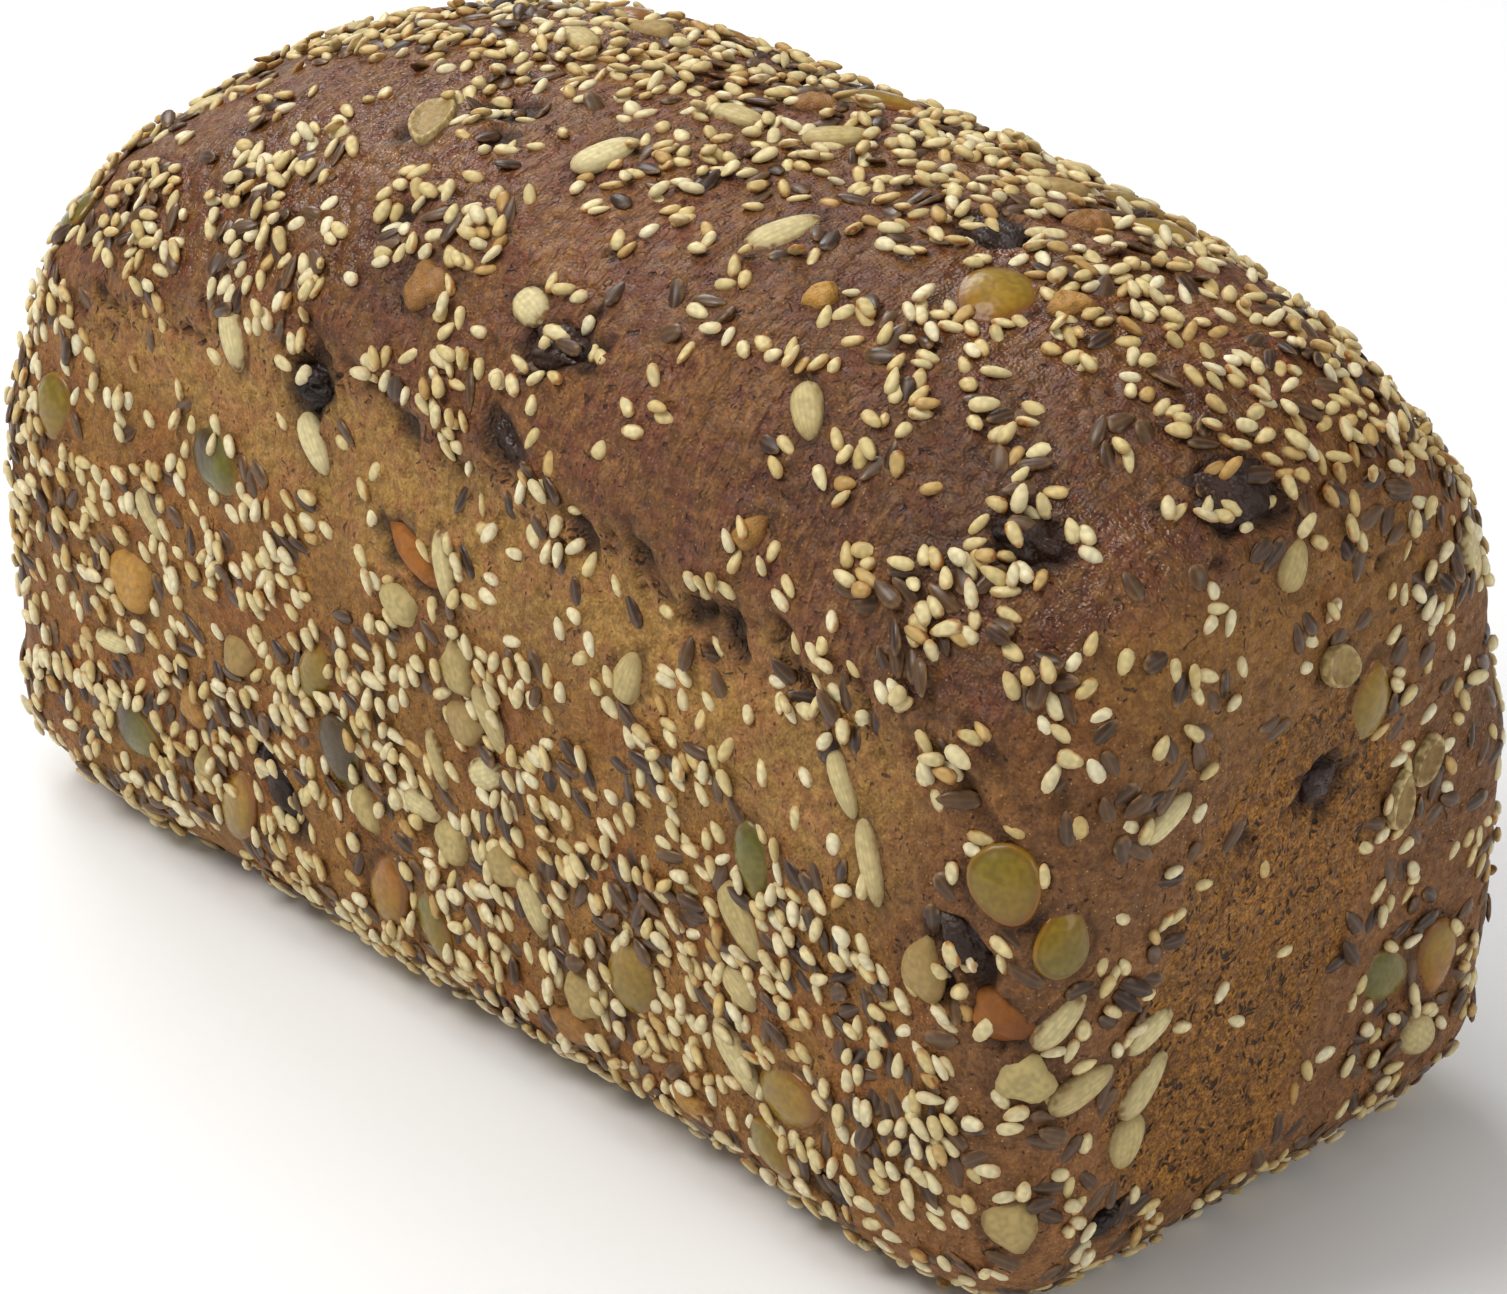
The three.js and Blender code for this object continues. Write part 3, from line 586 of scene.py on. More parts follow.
def drift_factor(points, drifts):
    """Product of every drift's factor, fading out at its radius."""
    factor = np.ones(len(points))
    for centre, radius, strength in drifts:
        near = np.exp(-((np.linalg.norm(points - centre, axis=1) / radius) ** 4))
        factor *= 1 + (strength - 1) * near
    return factor


def near_line(x, y, line):
    """The height of a line along the loaf; the far side has the near side's line turned about."""
    turned = np.where(y < 0, x, -x)
    return np.interp(turned, [at for at, _ in line], [height for _, height in line])


def patches(points, table):
    """The largest share of any patch that reaches each point."""
    most = np.zeros(len(points))
    for centre, radius, share in table:
        near = np.exp(-((np.linalg.norm(points - centre, axis=1) / radius) ** 2))
        most = np.maximum(most, share * near)
    return most


def zones(points):
    """Shares from 0 to 1 of the crust's zones at each point."""
    x, y, z = points.T
    wavy = 2.6 * noise(points, 13, 11) + 1.5 * noise(points, 5, 12) + 0.8 * noise(points, 2.5, 13)
    on_end = smooth(np.abs(x), END_FROM, END_TO)
    edge = near_line(x, y, CROWN_LINE) * (1 - on_end) + CROWN_EDGE_ON_END * on_end + wavy
    crown = smooth(z, edge - 2.0, edge + 2.0)
    fade = 1 - smooth(np.abs(x), BAND_FADE_FROM, BAND_FADE_TO)
    on_side = smooth(np.abs(y), SIDE_FROM, SIDE_TO) * fade
    low = near_line(x, y, WALL_LINE) + wavy
    band = on_side * smooth(z, low - 3, low + 4) * (1 - crown)
    tear = on_side * np.exp(-(((z - edge + 3.5) / 3.0) ** 2)) * (1 - 0.5 * crown)
    lean = BARE_LEAN * (z - 50)
    middle = np.abs(y - BARE_ACROSS - lean * np.sign(x)) / BARE_HALF_WIDE
    tall = np.abs(z - BARE_UP) / BARE_HALF_TALL
    oval = middle ** 2.5 + tall ** 2.5 + 0.35 * noise(points, 8, 14)
    bare = smooth(np.abs(x), 99, 103) * (1 - smooth(oval, 0.75, 1.1))
    ridge = crown * smooth(y, -16, 2)
    scorch = np.clip(patches(points, SCORCHED) * (1 + 0.7 * noise(points, 9, 21)), 0, 1)
    glossy = np.clip(patches(points, GLOSSY) * (1 + 0.8 * noise(points, 7, 22)), 0, 1)
    flecked = smooth(np.abs(x), 76, 100) * (1 - bare) * (1 - 0.8 * smooth(z, 66, 92))
    browned = smooth(z, edge - 9, edge + 5 + 4 * noise(points, 9, 15))
    return dict(
        crown=crown, band=band, tear=tear, bare=bare, ridge=ridge, scorch=scorch, on_end=on_end,
        flecked=flecked, browned=browned, glossy=glossy, edge=edge,
    )


def crown_place(points):
    """Places unrolled over the dome: along the loaf, and round it from the middle of the top."""
    x, y, z = points.T
    arc = DOME_RADIUS * np.arctan2(y, np.maximum(z - SPINE_HEIGHT, 1))
    return np.stack([x, arc, 0 * x], axis=1)


def fine_relief(points, zone):
    """Millimetres that the fine crust stands out from the plain loaf, and a mask of painted shade in
    its torn splits, holes and creases.
    """
    _, y, z = points.T
    unrolled = crown_place(points)
    streaks = noise(unrolled, (2.4, 13, 1), 31) + 0.6 * noise(unrolled, (5.5, 10, 1), 32)
    offset = LUMPS * layered_noise(points, 6, 33) + FINE_LUMPS * noise(points, 2.4, 34)
    offset += STREAKS * streaks * zone["crown"] * (1 - 0.6 * zone["ridge"])
    offset -= TOP_SETTLED * smooth(z, 92, 114)
    crag = np.abs(layered_noise(points, (8, 8, 4.0), 35))
    split = (1 - np.clip(crag / 0.22, 0, 1)) ** 2
    offset += zone["tear"] * (TEAR_LIFT - TEAR_DEPTH * split)
    offset += BAND_ROUGHNESS * zone["band"] * noise(points, 3.2, 36)
    above_edge = np.maximum(z - zone["edge"], 0)
    offset += CROWN_LIP * zone["crown"] * np.exp(-above_edge / 8) * smooth(np.abs(y), 34, 44)
    offset += zone["bare"] * (BARE_ROUGHNESS * noise(points, (2, 2.2, 5), 37) - BARE_SUNK)
    # Painted shade in the splits of the torn band.
    torn = zone["tear"] * np.clip(1 - crag / 0.12, 0, 1)
    offset, torn = open_holes(points, offset, torn)
    return crease_folds(points, offset, torn)


def open_holes(points, offset, torn):
    """The small torn holes, each ragged, with painted shade in them."""
    uneven = 1 + 0.45 * noise(points, 2.0, 41)
    for face, u, v, radius, depth in SMALL_HOLES:
        away = np.linalg.norm(points - on_face(face, u, v), axis=1)
        hole = np.exp(-((away / (radius * uneven)) ** 7))
        offset = offset - depth * hole
        torn = np.maximum(torn, hole)
    return offset, torn


def crease_folds(points, offset, torn):
    """The folds in the skin: a crease with a low swell beside it, and painted shade in the crease."""
    bent = points + 1.2 * np.stack([noise(points, 6, s) for s in (42, 43, 44)], axis=1)
    for start, end, width, depth in FOLDS:
        away = distance_to_segment(bent, on_face(*start), on_face(*end))
        crease = np.exp(-((away / width) ** 2))
        swell = np.exp(-(((away - 2 * width) / width) ** 2))
        offset = offset + depth * (0.45 * swell - crease)
        torn = np.maximum(torn, 0.7 * crease)
    return offset, torn


def reach_from(points, piece, frame, margin, depth=6.0):
    """How far each point is from a piece's middle, where 1 is its outline grown by a margin."""
    centre, long, wide, normal = frame
    off = points - centre
    a = off @ long / (piece[3] / 2 + margin)
    b = off @ wide / (piece[4] / 2 + margin)
    c = off @ normal / depth
    return np.sqrt(a * a + b * b + c * c)


def sink_fruit(points, offset, torn):
    """Opens the crust unevenly over each fruit, with a lip, and paints shade into the opening round
    it.
    """
    uneven = 1 + 0.45 * noise(points, 3.4, 51) + 0.25 * noise(points, 1.8, 52)
    edge = 1.12 + 0.25 * noise(points, 2.3, 55)
    for table in FRUIT.values():
        for _, piece, frame in placed(table):
            ragged = reach_from(points, piece, frame, 0.3) * uneven
            offset = offset - FRUIT_SUNK * np.exp(-(ragged ** 6))
            offset = offset + FRUIT_LIP * np.exp(-(((ragged - 1.2) / 0.2) ** 2))
            torn = np.maximum(torn, 0.95 * np.exp(-((ragged / edge) ** 12)))
    return offset, torn


def sink_pits(points, offset, torn):
    """Deepens the pits unevenly, and paints shade into them."""
    uneven = 1 + 0.35 * noise(points, 3.0, 53)
    for _, piece, frame in placed(PITS):
        ragged = reach_from(points, piece, frame, 0) * uneven
        offset = offset - PIT_SUNK * np.exp(-(ragged ** 6))
        torn = np.maximum(torn, np.exp(-(ragged ** 9)))
    return offset, torn


def groove_seeds(points, offset, torn, seeds):
    """A narrow groove round every large seed, where the dough drew back from it, darkened with painted
    shade.
    """
    uneven = 0.6 + 0.7 * noise(points, 3, 54)
    dark = 0.8 * np.clip(uneven, 0, 1)
    for _, piece, frame, _ in seeds:
        reach = reach_from(points, piece, frame, 0.2, 4.0)
        rim = np.exp(-(((reach - 1.06) / 0.18) ** 2))
        offset = offset - GROOVE * rim * uneven
        torn = np.maximum(torn, dark * rim)
    return offset, torn


def build_crust(seeds):
    """The crust as a piece, and its points and faces for laying seeds on."""
    points, faces = plain_loaf()
    zone = zones(points)
    offset, torn = fine_relief(points, zone)
    offset, torn = groove_seeds(points, offset, torn, seeds)
    offset, torn = sink_fruit(points, offset, torn)
    offset, torn = sink_pits(points, offset, torn)
    normals = vertex_normals(points, faces)
    points = points + normals * (offset * smooth(points[:, 2], 0.5, 5))[:, None]
    shown = ("browned", "band", "tear", "bare", "scorch", "flecked", "glossy")
    values = {name: zone[name] for name in shown}
    values["torn"] = torn
    values["arc"] = crown_place(points)[:, 1]
    return mesh_piece("crust", points, faces, values), points, faces


def mesh_piece(name, points, faces, values):
    """A smooth mesh piece from points in millimetres, with a float value for each vertex by name."""
    mesh = bpy.data.meshes.new(name)
    mesh.vertices.add(len(points))
    mesh.vertices.foreach_set("co", (points * MM).astype(np.float32).ravel())
    sides = faces.shape[1]
    mesh.loops.add(faces.size)
    mesh.loops.foreach_set("vertex_index", faces.astype(np.int32).ravel())
    mesh.polygons.add(len(faces))
    mesh.polygons.foreach_set("loop_start", np.arange(0, faces.size, sides, dtype=np.int32))
    mesh.update(calc_edges=True)
    mesh.polygons.foreach_set("use_smooth", np.ones(len(faces), bool))
    for key, value in values.items():
        attribute = mesh.attributes.new(key, "FLOAT", "POINT")
        attribute.data.foreach_set("value", np.asarray(value, np.float32))
    mesh.validate()
    piece = bpy.data.objects.new(name, mesh)
    bpy.context.scene.collection.objects.link(piece)
    return piece


# ---- Seed shapes --------------------------------------------------------------------------------
# A shape is (points, triangles, values) for a seed 1 long, 1 wide and 1 thick, centred on 0. The
# points come in several variants, so that no two neighbours need be alike.

def pole_triangles(around, rings):
    """Triangles that close rings of points between two poles: first pole, rings, last pole."""
    last = 1 + (rings - 1) * around
    triangles = []
    for i in range(around):
        j = (i + 1) % around
        triangles.append((0, 1 + j, 1 + i))
        for ring in range(rings - 1):
            a, b = 1 + ring * around, 1 + (ring + 1) * around
            triangles += [(a + i, a + j, b + j), (a + i, b + j, b + i)]
        triangles.append((last + i, last + j, last + around))
    return np.array(triangles)


def long_shape(around, rings, narrow, tip, bend):
    """A drop lying along X: rings across its length, narrower towards +X, with a pointed tip."""
    along = -np.cos(np.pi * np.arange(1, rings + 1) / (rings + 1))
    girth = np.sqrt(1 - np.abs(along) ** 2.5)
    girth = girth * (1 - narrow * along) * (1 - tip * np.maximum(along, 0) ** 3)
    girth /= girth.max()
    angle = 2 * np.pi * np.arange(around) / around
    x = np.repeat(along / 2, around)
    y = np.outer(girth, np.cos(angle)).ravel() / 2 + bend * x ** 2
    z = np.outer(girth, np.sin(angle)).ravel() / 2
    points = np.concatenate([
        [[-0.5, bend / 4, 0]], np.stack([x, y, z], axis=1), [[0.5, bend / 4, 0]],
    ])
    across = np.concatenate([[0], np.tile(np.cos(angle), rings), [0]])
    rim = np.clip(np.hypot(2 * points[:, 0], 2 * points[:, 1]), 0, 1)
    values = dict(rim=rim ** 3, along=points[:, 0] + 0.5, across=across)
    return points, pole_triangles(around, rings), values


def flat_shape(around, heights, narrow, lobes, turn):
    """A flat seed seen from above: rings from the centre out with (radius, height), a round edge."""
    angle = 2 * np.pi * np.arange(around) / around
    outline = 1 + lobes * np.sin(3 * angle + turn) + 0.7 * lobes * np.sin(5 * angle - 2 * turn)
    rings = heights + [(1.0, 0.0), (0.9, -0.3), (0.5, -0.45)]
    points = [(0, 0, heights[0][1])]
    rim = [0.0]
    for radius, height in rings:
        for a, grown in zip(angle, outline):
            x = radius * grown * math.cos(a) / 2
            y = radius * grown * math.sin(a) / 2 * (1 - narrow * math.cos(a))
            points.append((x, y, height))
            rim.append(radius)
    points.append((0, 0, -0.5))
    rim.append(1.0)
    points = np.array(points)
    values = dict(rim=np.array(rim) ** 3, along=points[:, 0] + 0.5, across=2 * points[:, 1])
    downwards = pole_triangles(around, len(rings))[:, [0, 2, 1]]
    return points, downwards, values


def variants(function, *settings):
    """One shape with several variants of its points, from a list of settings for each."""
    made = [function(*setting) for setting in settings]
    return np.array([points for points, _, _ in made]), made[0][1], made[0][2]


PUMPKIN_TOP = [(0.35, 0.47), (0.62, 0.38), (0.80, 0.27), (0.87, 0.20), (0.92, 0.19), (0.97, 0.10)]
BEAN_TOP = [(0.30, 0.48), (0.58, 0.46), (0.80, 0.34), (0.93, 0.16)]
KIBBLE_TOP = [(0.30, 0.46), (0.55, 0.50), (0.75, 0.36), (0.92, 0.18)]
HUSK_TOP = [(0.35, 0.18), (0.60, 0.22), (0.78, 0.33), (0.89, 0.49), (0.96, 0.40)]
SHAPES = {
    "sesame": lambda: variants(
        long_shape, (7, 5, 0.20, 0.15, 0.0), (7, 5, 0.26, 0.10, 0.10), (7, 5, 0.12, 0.15, -0.07),
        (7, 5, 0.28, 0.25, 0.04)),
    "linseed": lambda: variants(
        long_shape, (9, 5, 0.18, 0.42, 0.05), (9, 5, 0.24, 0.55, -0.05)),
    "pumpkin": lambda: variants(
        flat_shape, (28, PUMPKIN_TOP, 0.16, 0.0, 0), (28, PUMPKIN_TOP, 0.12, 0.02, 1)),
    "kernel": lambda: variants(
        long_shape, (14, 10, 0.20, 0.05, 0.05), (14, 10, 0.10, 0.15, -0.08),
        (14, 10, 0.26, 0.0, 0)),
    "husk": lambda: variants(
        flat_shape, (22, HUSK_TOP, 0.14, 0.015, 0), (22, HUSK_TOP, 0.2, 0.03, 2)),
    "bean": lambda: variants(
        flat_shape, (20, BEAN_TOP, 0.10, 0.06, 0), (20, BEAN_TOP, 0.0, 0.10, 1),
        (20, BEAN_TOP, 0.2, 0.05, 2)),
    "kibble": lambda: variants(
        flat_shape, (18, KIBBLE_TOP, 0.05, 0.07, 0), (18, KIBBLE_TOP, 0.1, 0.12, 1.5)),
}
LARGE_THICK = {"pumpkin": 3.2, "kernel": 2.7, "husk": 2.3, "bean": 2.8, "kibble": 2.9}
LARGE_PROUD = {"pumpkin": 0.9, "kernel": 0.85, "husk": 1.35, "bean": 0.95, "kibble": 0.9}


def many(name, shape, centres, frames, sizes, tints):
    """One piece of many seeds: frames are (n, 3, 3) rows long, wide and out; sizes are (n, 3)."""
    points, triangles, values = shape
    count, per_seed = len(centres), points.shape[1]
    chosen = points[np.arange(count) * 7 % len(points)]
    scaled = chosen * sizes[:, None, :]
    world = np.einsum("nvk,nkc->nvc", scaled, frames) + centres[:, None, :]
    faces = triangles[None] + (np.arange(count) * per_seed)[:, None, None]
    spread = {key: np.tile(value, count) for key, value in values.items()}
    spread["tint"] = np.repeat(tints, per_seed)
    return mesh_piece(name, world.reshape(-1, 3), faces.reshape(-1, 3), spread)


def tilted(frames, pitch, roll):
    """Frames nodded about their wide axis and rolled about their long one, in radians."""
    long, wide, out = frames[:, 0], frames[:, 1], frames[:, 2]
    cp, sp = np.cos(pitch)[:, None], np.sin(pitch)[:, None]
    long, out = long * cp + out * sp, out * cp - long * sp
    cr, sr = np.cos(roll)[:, None], np.sin(roll)[:, None]
    wide, out = wide * cr + out * sr, out * cr - wide * sr
    return np.stack([long, wide, out], axis=1)


class Skin:
    """Where the finished crust is, for laying seeds on it."""

    def __init__(self, points, faces):
        self.points = points
        self.tree = BVHTree.FromPolygons(points.tolist(), faces.tolist())
        self.normals = vertex_normals(points, faces)
        self.faces = faces
        self.fruit = []

    def cover_with(self, points, faces):
        """Adds fruit that seeds may lie on."""
        self.fruit.append(BVHTree.FromPolygons(points.tolist(), faces.tolist()))

    def height(self, centre, normal):
        """How far the fine crust or the fruit is above a point, along the crust's normal."""
        best = -float(LOOK_BELOW)
        start, reach = Vector(centre + normal * LOOK_ABOVE), LOOK_ABOVE + LOOK_BELOW
        for tree in [self.tree, *self.fruit]:
            found = tree.ray_cast(start, Vector(-normal), reach)
            if found[3] is not None:
                best = max(best, LOOK_ABOVE - found[3])
        return best

    def sample(self, count, rng):
        """Places spread evenly over the crust, the normals there, and its square centimetres."""
        corners = self.points[self.faces]
        sides = np.cross(corners[:, 2] - corners[:, 0], corners[:, 3] - corners[:, 1])
        area = np.linalg.norm(sides, axis=1) / 2
        pick = rng.choice(len(area), count, p=area / area.sum())
        s, t = rng.random((2, count, 1))
        weights = np.stack([(1 - s) * (1 - t), s * (1 - t), s * t, (1 - s) * t], axis=1)
        at = (corners[pick] * weights).sum(axis=1)
        normal = (self.normals[self.faces[pick]] * weights).sum(axis=1)
        return at, normal / np.linalg.norm(normal, axis=1)[:, None], area.sum() / 100


def rate_at(points, rates):
    """Seeds for each square centimetre at each point."""
    zone = zones(points)
    z = points[:, 2]
    rate = np.full(len(points), float(rates["wall"]))
    for share, key in (
        (zone["on_end"], "end"), (zone["band"], "band"), (zone["crown"], "crown"),
        (zone["ridge"], "ridge"), (zone["bare"], "bare"),
    ):
        rate = rate * (1 - share) + rates[key] * share
    clumps = 0.7 * noise(points, 8, 61) + 0.5 * noise(points, 4, 62)
    loose = 0.12 + 2.1 * smooth(clumps, -0.15, 0.30)
    loose += 0.9 * smooth(clumps, -0.5, -0.1) * (1 - smooth(z, 34, 58))
    tight = 0.05 + 3.0 * smooth(clumps, 0.0, 0.42)
    even = 0.5 * zone["ridge"]
    rate = rate * ((loose + (tight - loose) * zone["crown"]) * (1 - even) + 1.2 * even)
    return rate * drift_factor(points, DRIFTS) * smooth(z, 0.6, 2.5), zone


class Crowd:
    """Keeps the seeds already laid as small balls, so that new ones don't run through them."""

    def __init__(self, cell=2.0):
        self.cell = cell
        self.balls = {}

    def key(self, at):
        return tuple(np.floor(at / self.cell).astype(int))

    def add(self, at, radius):
        self.balls.setdefault(self.key(at), []).append((at, radius))

    def is_free(self, at, radius):
        kx, ky, kz = self.key(at)
        for dx in (-1, 0, 1):
            for dy in (-1, 0, 1):
                for dz in (-1, 0, 1):
                    for other, other_radius in self.balls.get((kx + dx, ky + dy, kz + dz), ()):
                        gap = at - other
                        if gap @ gap < (radius + other_radius) ** 2:
                            return False
        return True


def crowd_with(pieces):
    """A crowd that holds the large seeds and the fruit, as rows of balls along each."""
    crowd = Crowd()
    for piece, (centre, long, wide, _), share in pieces:
        half_long, half_wide = piece[3] / 2 * share, piece[4] / 2 * share
        reach_long, reach_wide = half_long - TAKEN_BALL, half_wide - TAKEN_BALL
        for a in np.linspace(-1, 1, max(2, round(half_long * 2 / TAKEN_STEP))):
            for b in np.linspace(-1, 1, max(2, round(half_wide * 2 / TAKEN_STEP))):
                if a * a + b * b <= 1.05:
                    crowd.add(centre + long * a * reach_long + wide * b * reach_wide, TAKEN_BALL)
    return crowd


def lay_seeds(skin, crowd, rates, size, draw):
    """Places and frames of small seeds laid at the rates on the crust, and how far up each lies."""
    rng = np.random.default_rng(draw)
    at, normal, area = skin.sample(SOWING_TRIES, rng)
    rate, zone = rate_at(at, rates)
    wanted = rng.random(SOWING_TRIES) < rate * area / SOWING_TRIES * OVERSOWN
    ball = size["wide"] * BALL_SHARE
    reach = size["long"] * 0.5 - ball
    swirl = noise(at, 9, 63)
    centres, frames, crowns = [], [], []
    for index in np.flatnonzero(wanted):
        out = normal[index]
        on_side = abs(out[2]) < 0.6
        on_long_side = on_side and abs(out[1]) > abs(out[0])
        level = unit(np.cross((0, 0, 1), out)) if on_side else unit(np.cross((0, 1, 0), out))
        rise = np.cross(out, level)
        mean = LEAN + LEAN_SWIRL * swirl[index]
        for attempt in range(LAYING_TRIES):
            turn = rng.normal(mean, LEAN_SPREAD) if on_long_side else rng.uniform(0, math.pi)
            turn += math.pi * (rng.random() < 0.5)
            long = level * math.cos(turn) + rise * math.sin(turn)
            on_others = attempt == LAYING_TRIES - 1
            centre = at[index] + out * (size["thick"] * 0.75 * on_others)
            balls = [centre + long * reach * t for t in (-1, 0, 1)]
            if all(crowd.is_free(b, ball) for b in balls):
                for b in balls:
                    crowd.add(b, ball)
                centres.append(centre)
                frames.append((long, np.cross(out, long), out))
                crowns.append(zone["crown"][index])
                break
    return np.array(centres), np.array(frames), np.array(crowns)


def small_seeds(name, size, skin, laid, draw):
    """A piece of small seeds, sunk deeper in the walls, which the tin pressed flat."""
    centres, frames, crowns = laid
    rng = np.random.default_rng(draw)
    count = len(centres)
    sizes = np.array([size["long"], size["wide"], size["thick"]]) * rng.normal(1, 0.10, (count, 3))
    sizes = np.clip(sizes, 0.5, None)
    less_in_crown = size["sunk_in_crown"] - size["sunk_in_wall"]
    sunk = size["sunk_in_wall"] + less_in_crown * crowns + rng.normal(0, 0.12, count)
    loose = 0.12 + 0.14 * crowns
    lifts = np.array([
        max(0.0, skin.height(centre, frame[2])) for centre, frame in zip(centres, frames)
    ])
    centres = centres + frames[:, 2] * (lifts + sizes[:, 2] * (0.5 - sunk))[:, None]
    frames = tilted(frames, rng.normal(0, 1, count) * loose, rng.normal(0, 1, count) * loose)
    return many(name, SHAPES[size["shape"]](), centres, frames, sizes, rng.random(count))


def sesame_kinds(crowns, draw):
    """Which kind of sesame each seed is, by how far up the crown it lies."""
    rng = np.random.default_rng(draw)
    walls, top = np.array(list(SESAME_KINDS.values())).T
    shares = walls + (top - walls) * crowns[:, None]
    return (rng.random(len(crowns))[:, None] > np.cumsum(shares, axis=1)[:, :-1]).sum(axis=1)


def large_piece(kind, seeds, skin):
    """All large seeds of one kind, as one piece."""
    chosen = [(piece, frame, tone) for k, piece, frame, tone in seeds if k == kind]
    rng = np.random.default_rng(len(kind))
    centres, frames, sizes, tints = [], [], [], []
    for piece, (centre, long, wide, out), tone in chosen:
        thick = LARGE_THICK[kind]
        lift = skin.height(centre, out) + LARGE_PROUD[kind] - thick * 0.45
        centres.append(centre + out * lift)
        frames.append((long, wide, out))
        sizes.append((piece[3], piece[4], thick))
        tints.append(tone)
    frames = tilted(
        np.array(frames), rng.normal(0, 0.05, len(chosen)), rng.normal(0, 0.08, len(chosen)))
    return many(kind, SHAPES[kind](), np.array(centres), frames, np.array(sizes), np.array(tints))


# ---- Fruit --------------------------------------------------------------------------------------

def fruit_piece(kind):
    """Every fruit of one kind as one piece of wrinkled lenses, each in its CAD node's place."""
    polar = np.linspace(-np.pi / 2, np.pi / 2, FRUIT_BANDS + 1)[1:-1]
    angle = 2 * np.pi * np.arange(FRUIT_AROUND) / FRUIT_AROUND
    rings = np.stack([
        np.outer(np.cos(polar), np.cos(angle)).ravel(),
        np.outer(np.cos(polar), np.sin(angle)).ravel(),
        np.repeat(np.sin(polar), FRUIT_AROUND),
    ], axis=1)
    ball = np.concatenate([[[0, 0, -1]], rings, [[0, 0, 1]]])
    triangles = pole_triangles(FRUIT_AROUND, FRUIT_BANDS - 1)
    draw, apart = DRAW["fruit"], 40
    points, faces = [], []
    for index, (_, piece, (centre, long, wide, out)) in enumerate(placed(FRUIT[kind])):
        form = ball * np.array([piece[3] / 2, piece[4] / 2, FRUIT_DEPTH[kind] / 2])
        where = form + apart * index
        lumps = 1.06 + 0.22 * noise(where, 4.0, draw)
        folds = np.abs(noise(where, (4.5, 1.5, 3.0), draw + 1)) - 0.35
        creases = np.abs(noise(where, (2.2, 1.1, 2.0), draw + 2)) - 0.3
        wrinkles = FRUIT_WRINKLE[kind] * (folds + 0.6 * creases)
        form = form * lumps[:, None] + ball * wrinkles[:, None]
        form[:, 2] += FRUIT_PROUD[kind] - FRUIT_DEPTH[kind] / 2
        points.append(centre + form @ np.array([long, wide, out]))
        faces.append(triangles + index * len(ball))
    points, faces = np.concatenate(points), np.concatenate(faces)
    return mesh_piece(kind + "s", points, faces, {}), points, faces


# ---- Materials ----------------------------------------------------------------------------------
# Colours are red, green and blue from 0 to 255, as they look in the photo.

# A darker and a lighter tone for each part of the crust.
CRUST_TONES = {
    "dough": ((135, 91, 38), (153, 108, 48)),
    "ruddy": ((116, 66, 25), (134, 81, 33)),
    "torn_gold": ((146, 104, 45), (170, 130, 66)),
    "torn_tan": ((136, 90, 45), (155, 110, 60)),
    "flecked": ((116, 74, 37), (138, 94, 52)),
    "skin_brown": ((106, 65, 30), (134, 88, 40)),
    "skin_red": ((91, 49, 27), (114, 65, 36)),
    "bare": ((118, 74, 26), (154, 104, 40)),
    "burnt": ((58, 31, 18), (84, 50, 28)),
}
STREAK_GOLD, CRACK_BROWN = (170, 126, 74), (52, 29, 18)
# Pale flecks, then the colours of the painted shade in the crumb's pits and in the torn hollows.
FLECK_PALE, PIT_SHADE, HOLLOW_SHADE = (208, 162, 98), (36, 19, 10), (38, 21, 14)
# The two tones that a kind of seed lies between, the tone that its rim is toasted to and how far,
# its least and greatest roughness, and the depth of its grain in millimetres.
SEED_LOOKS = {
    "sesame_ivory": dict(
        pale=(240, 229, 190), deep=(223, 206, 156), rim=(172, 120, 60), toast=0.55,
        rough=(0.36, 0.52), depth=0),
    "sesame_cream": dict(
        pale=(233, 217, 166), deep=(214, 192, 131), rim=(162, 108, 50), toast=0.70,
        rough=(0.36, 0.52), depth=0),
    "sesame_straw": dict(
        pale=(228, 208, 152), deep=(209, 182, 118), rim=(160, 103, 44), toast=0.75,
        rough=(0.34, 0.50), depth=0),
    "sesame_toasted": dict(
        pale=(214, 184, 120), deep=(188, 148, 84), rim=(136, 84, 36), toast=0.80,
        rough=(0.34, 0.50), depth=0),
    # Linseed's paler rim is a painted highlight along its edge.
    "linseed": dict(
        pale=(98, 70, 44), deep=(50, 29, 18), rim=(136, 102, 64), toast=0.70,
        rough=(0.30, 0.48), depth=0),
    "kernel": dict(
        pale=(218, 202, 150), deep=(188, 166, 108), rim=(126, 90, 44), toast=0.85,
        rough=(0.50, 0.70), depth=0.16),
    "husk": dict(
        pale=(160, 132, 78), deep=(132, 102, 56), rim=(214, 192, 138), toast=1.0,
        rough=(0.40, 0.60), depth=0.20),
    "bean": dict(
        pale=(190, 170, 112), deep=(160, 130, 76), rim=(118, 82, 40), toast=0.60,
        rough=(0.46, 0.66), depth=0.12),
    "kibble": dict(
        pale=(188, 140, 66), deep=(146, 100, 52), rim=(112, 70, 32), toast=0.70,
        rough=(0.44, 0.64), depth=0.30),
}
# A painted highlight: the pale line along the middle of each linseed.
LINSEED_RIDGE_HIGHLIGHT = (146, 114, 78)
# A pumpkin seed's colour as it ripens, its browned rim and the line inside its edge.
PUMPKIN_RIPENING = [
    (0.0, (78, 60, 28)), (0.12, (102, 97, 36)), (0.3, (118, 104, 34)), (0.5, (134, 109, 32)),
    (0.75, (152, 116, 26)), (1.0, (158, 100, 24)),
]
PUMPKIN_RIM, PUMPKIN_LINE = (126, 80, 32), (60, 46, 20)
FRUIT_LOOKS = {
    "raisin": dict(
        low=(24, 16, 14), high=(60, 40, 30), rough=(0.32, 0.62), grain=0.7, depth=0.60,
        specular=0.35),
    "orange": dict(
        low=(114, 60, 22), high=(158, 98, 36), rough=(0.40, 0.62), grain=0.8, depth=0.35,
        specular=0.3),
}


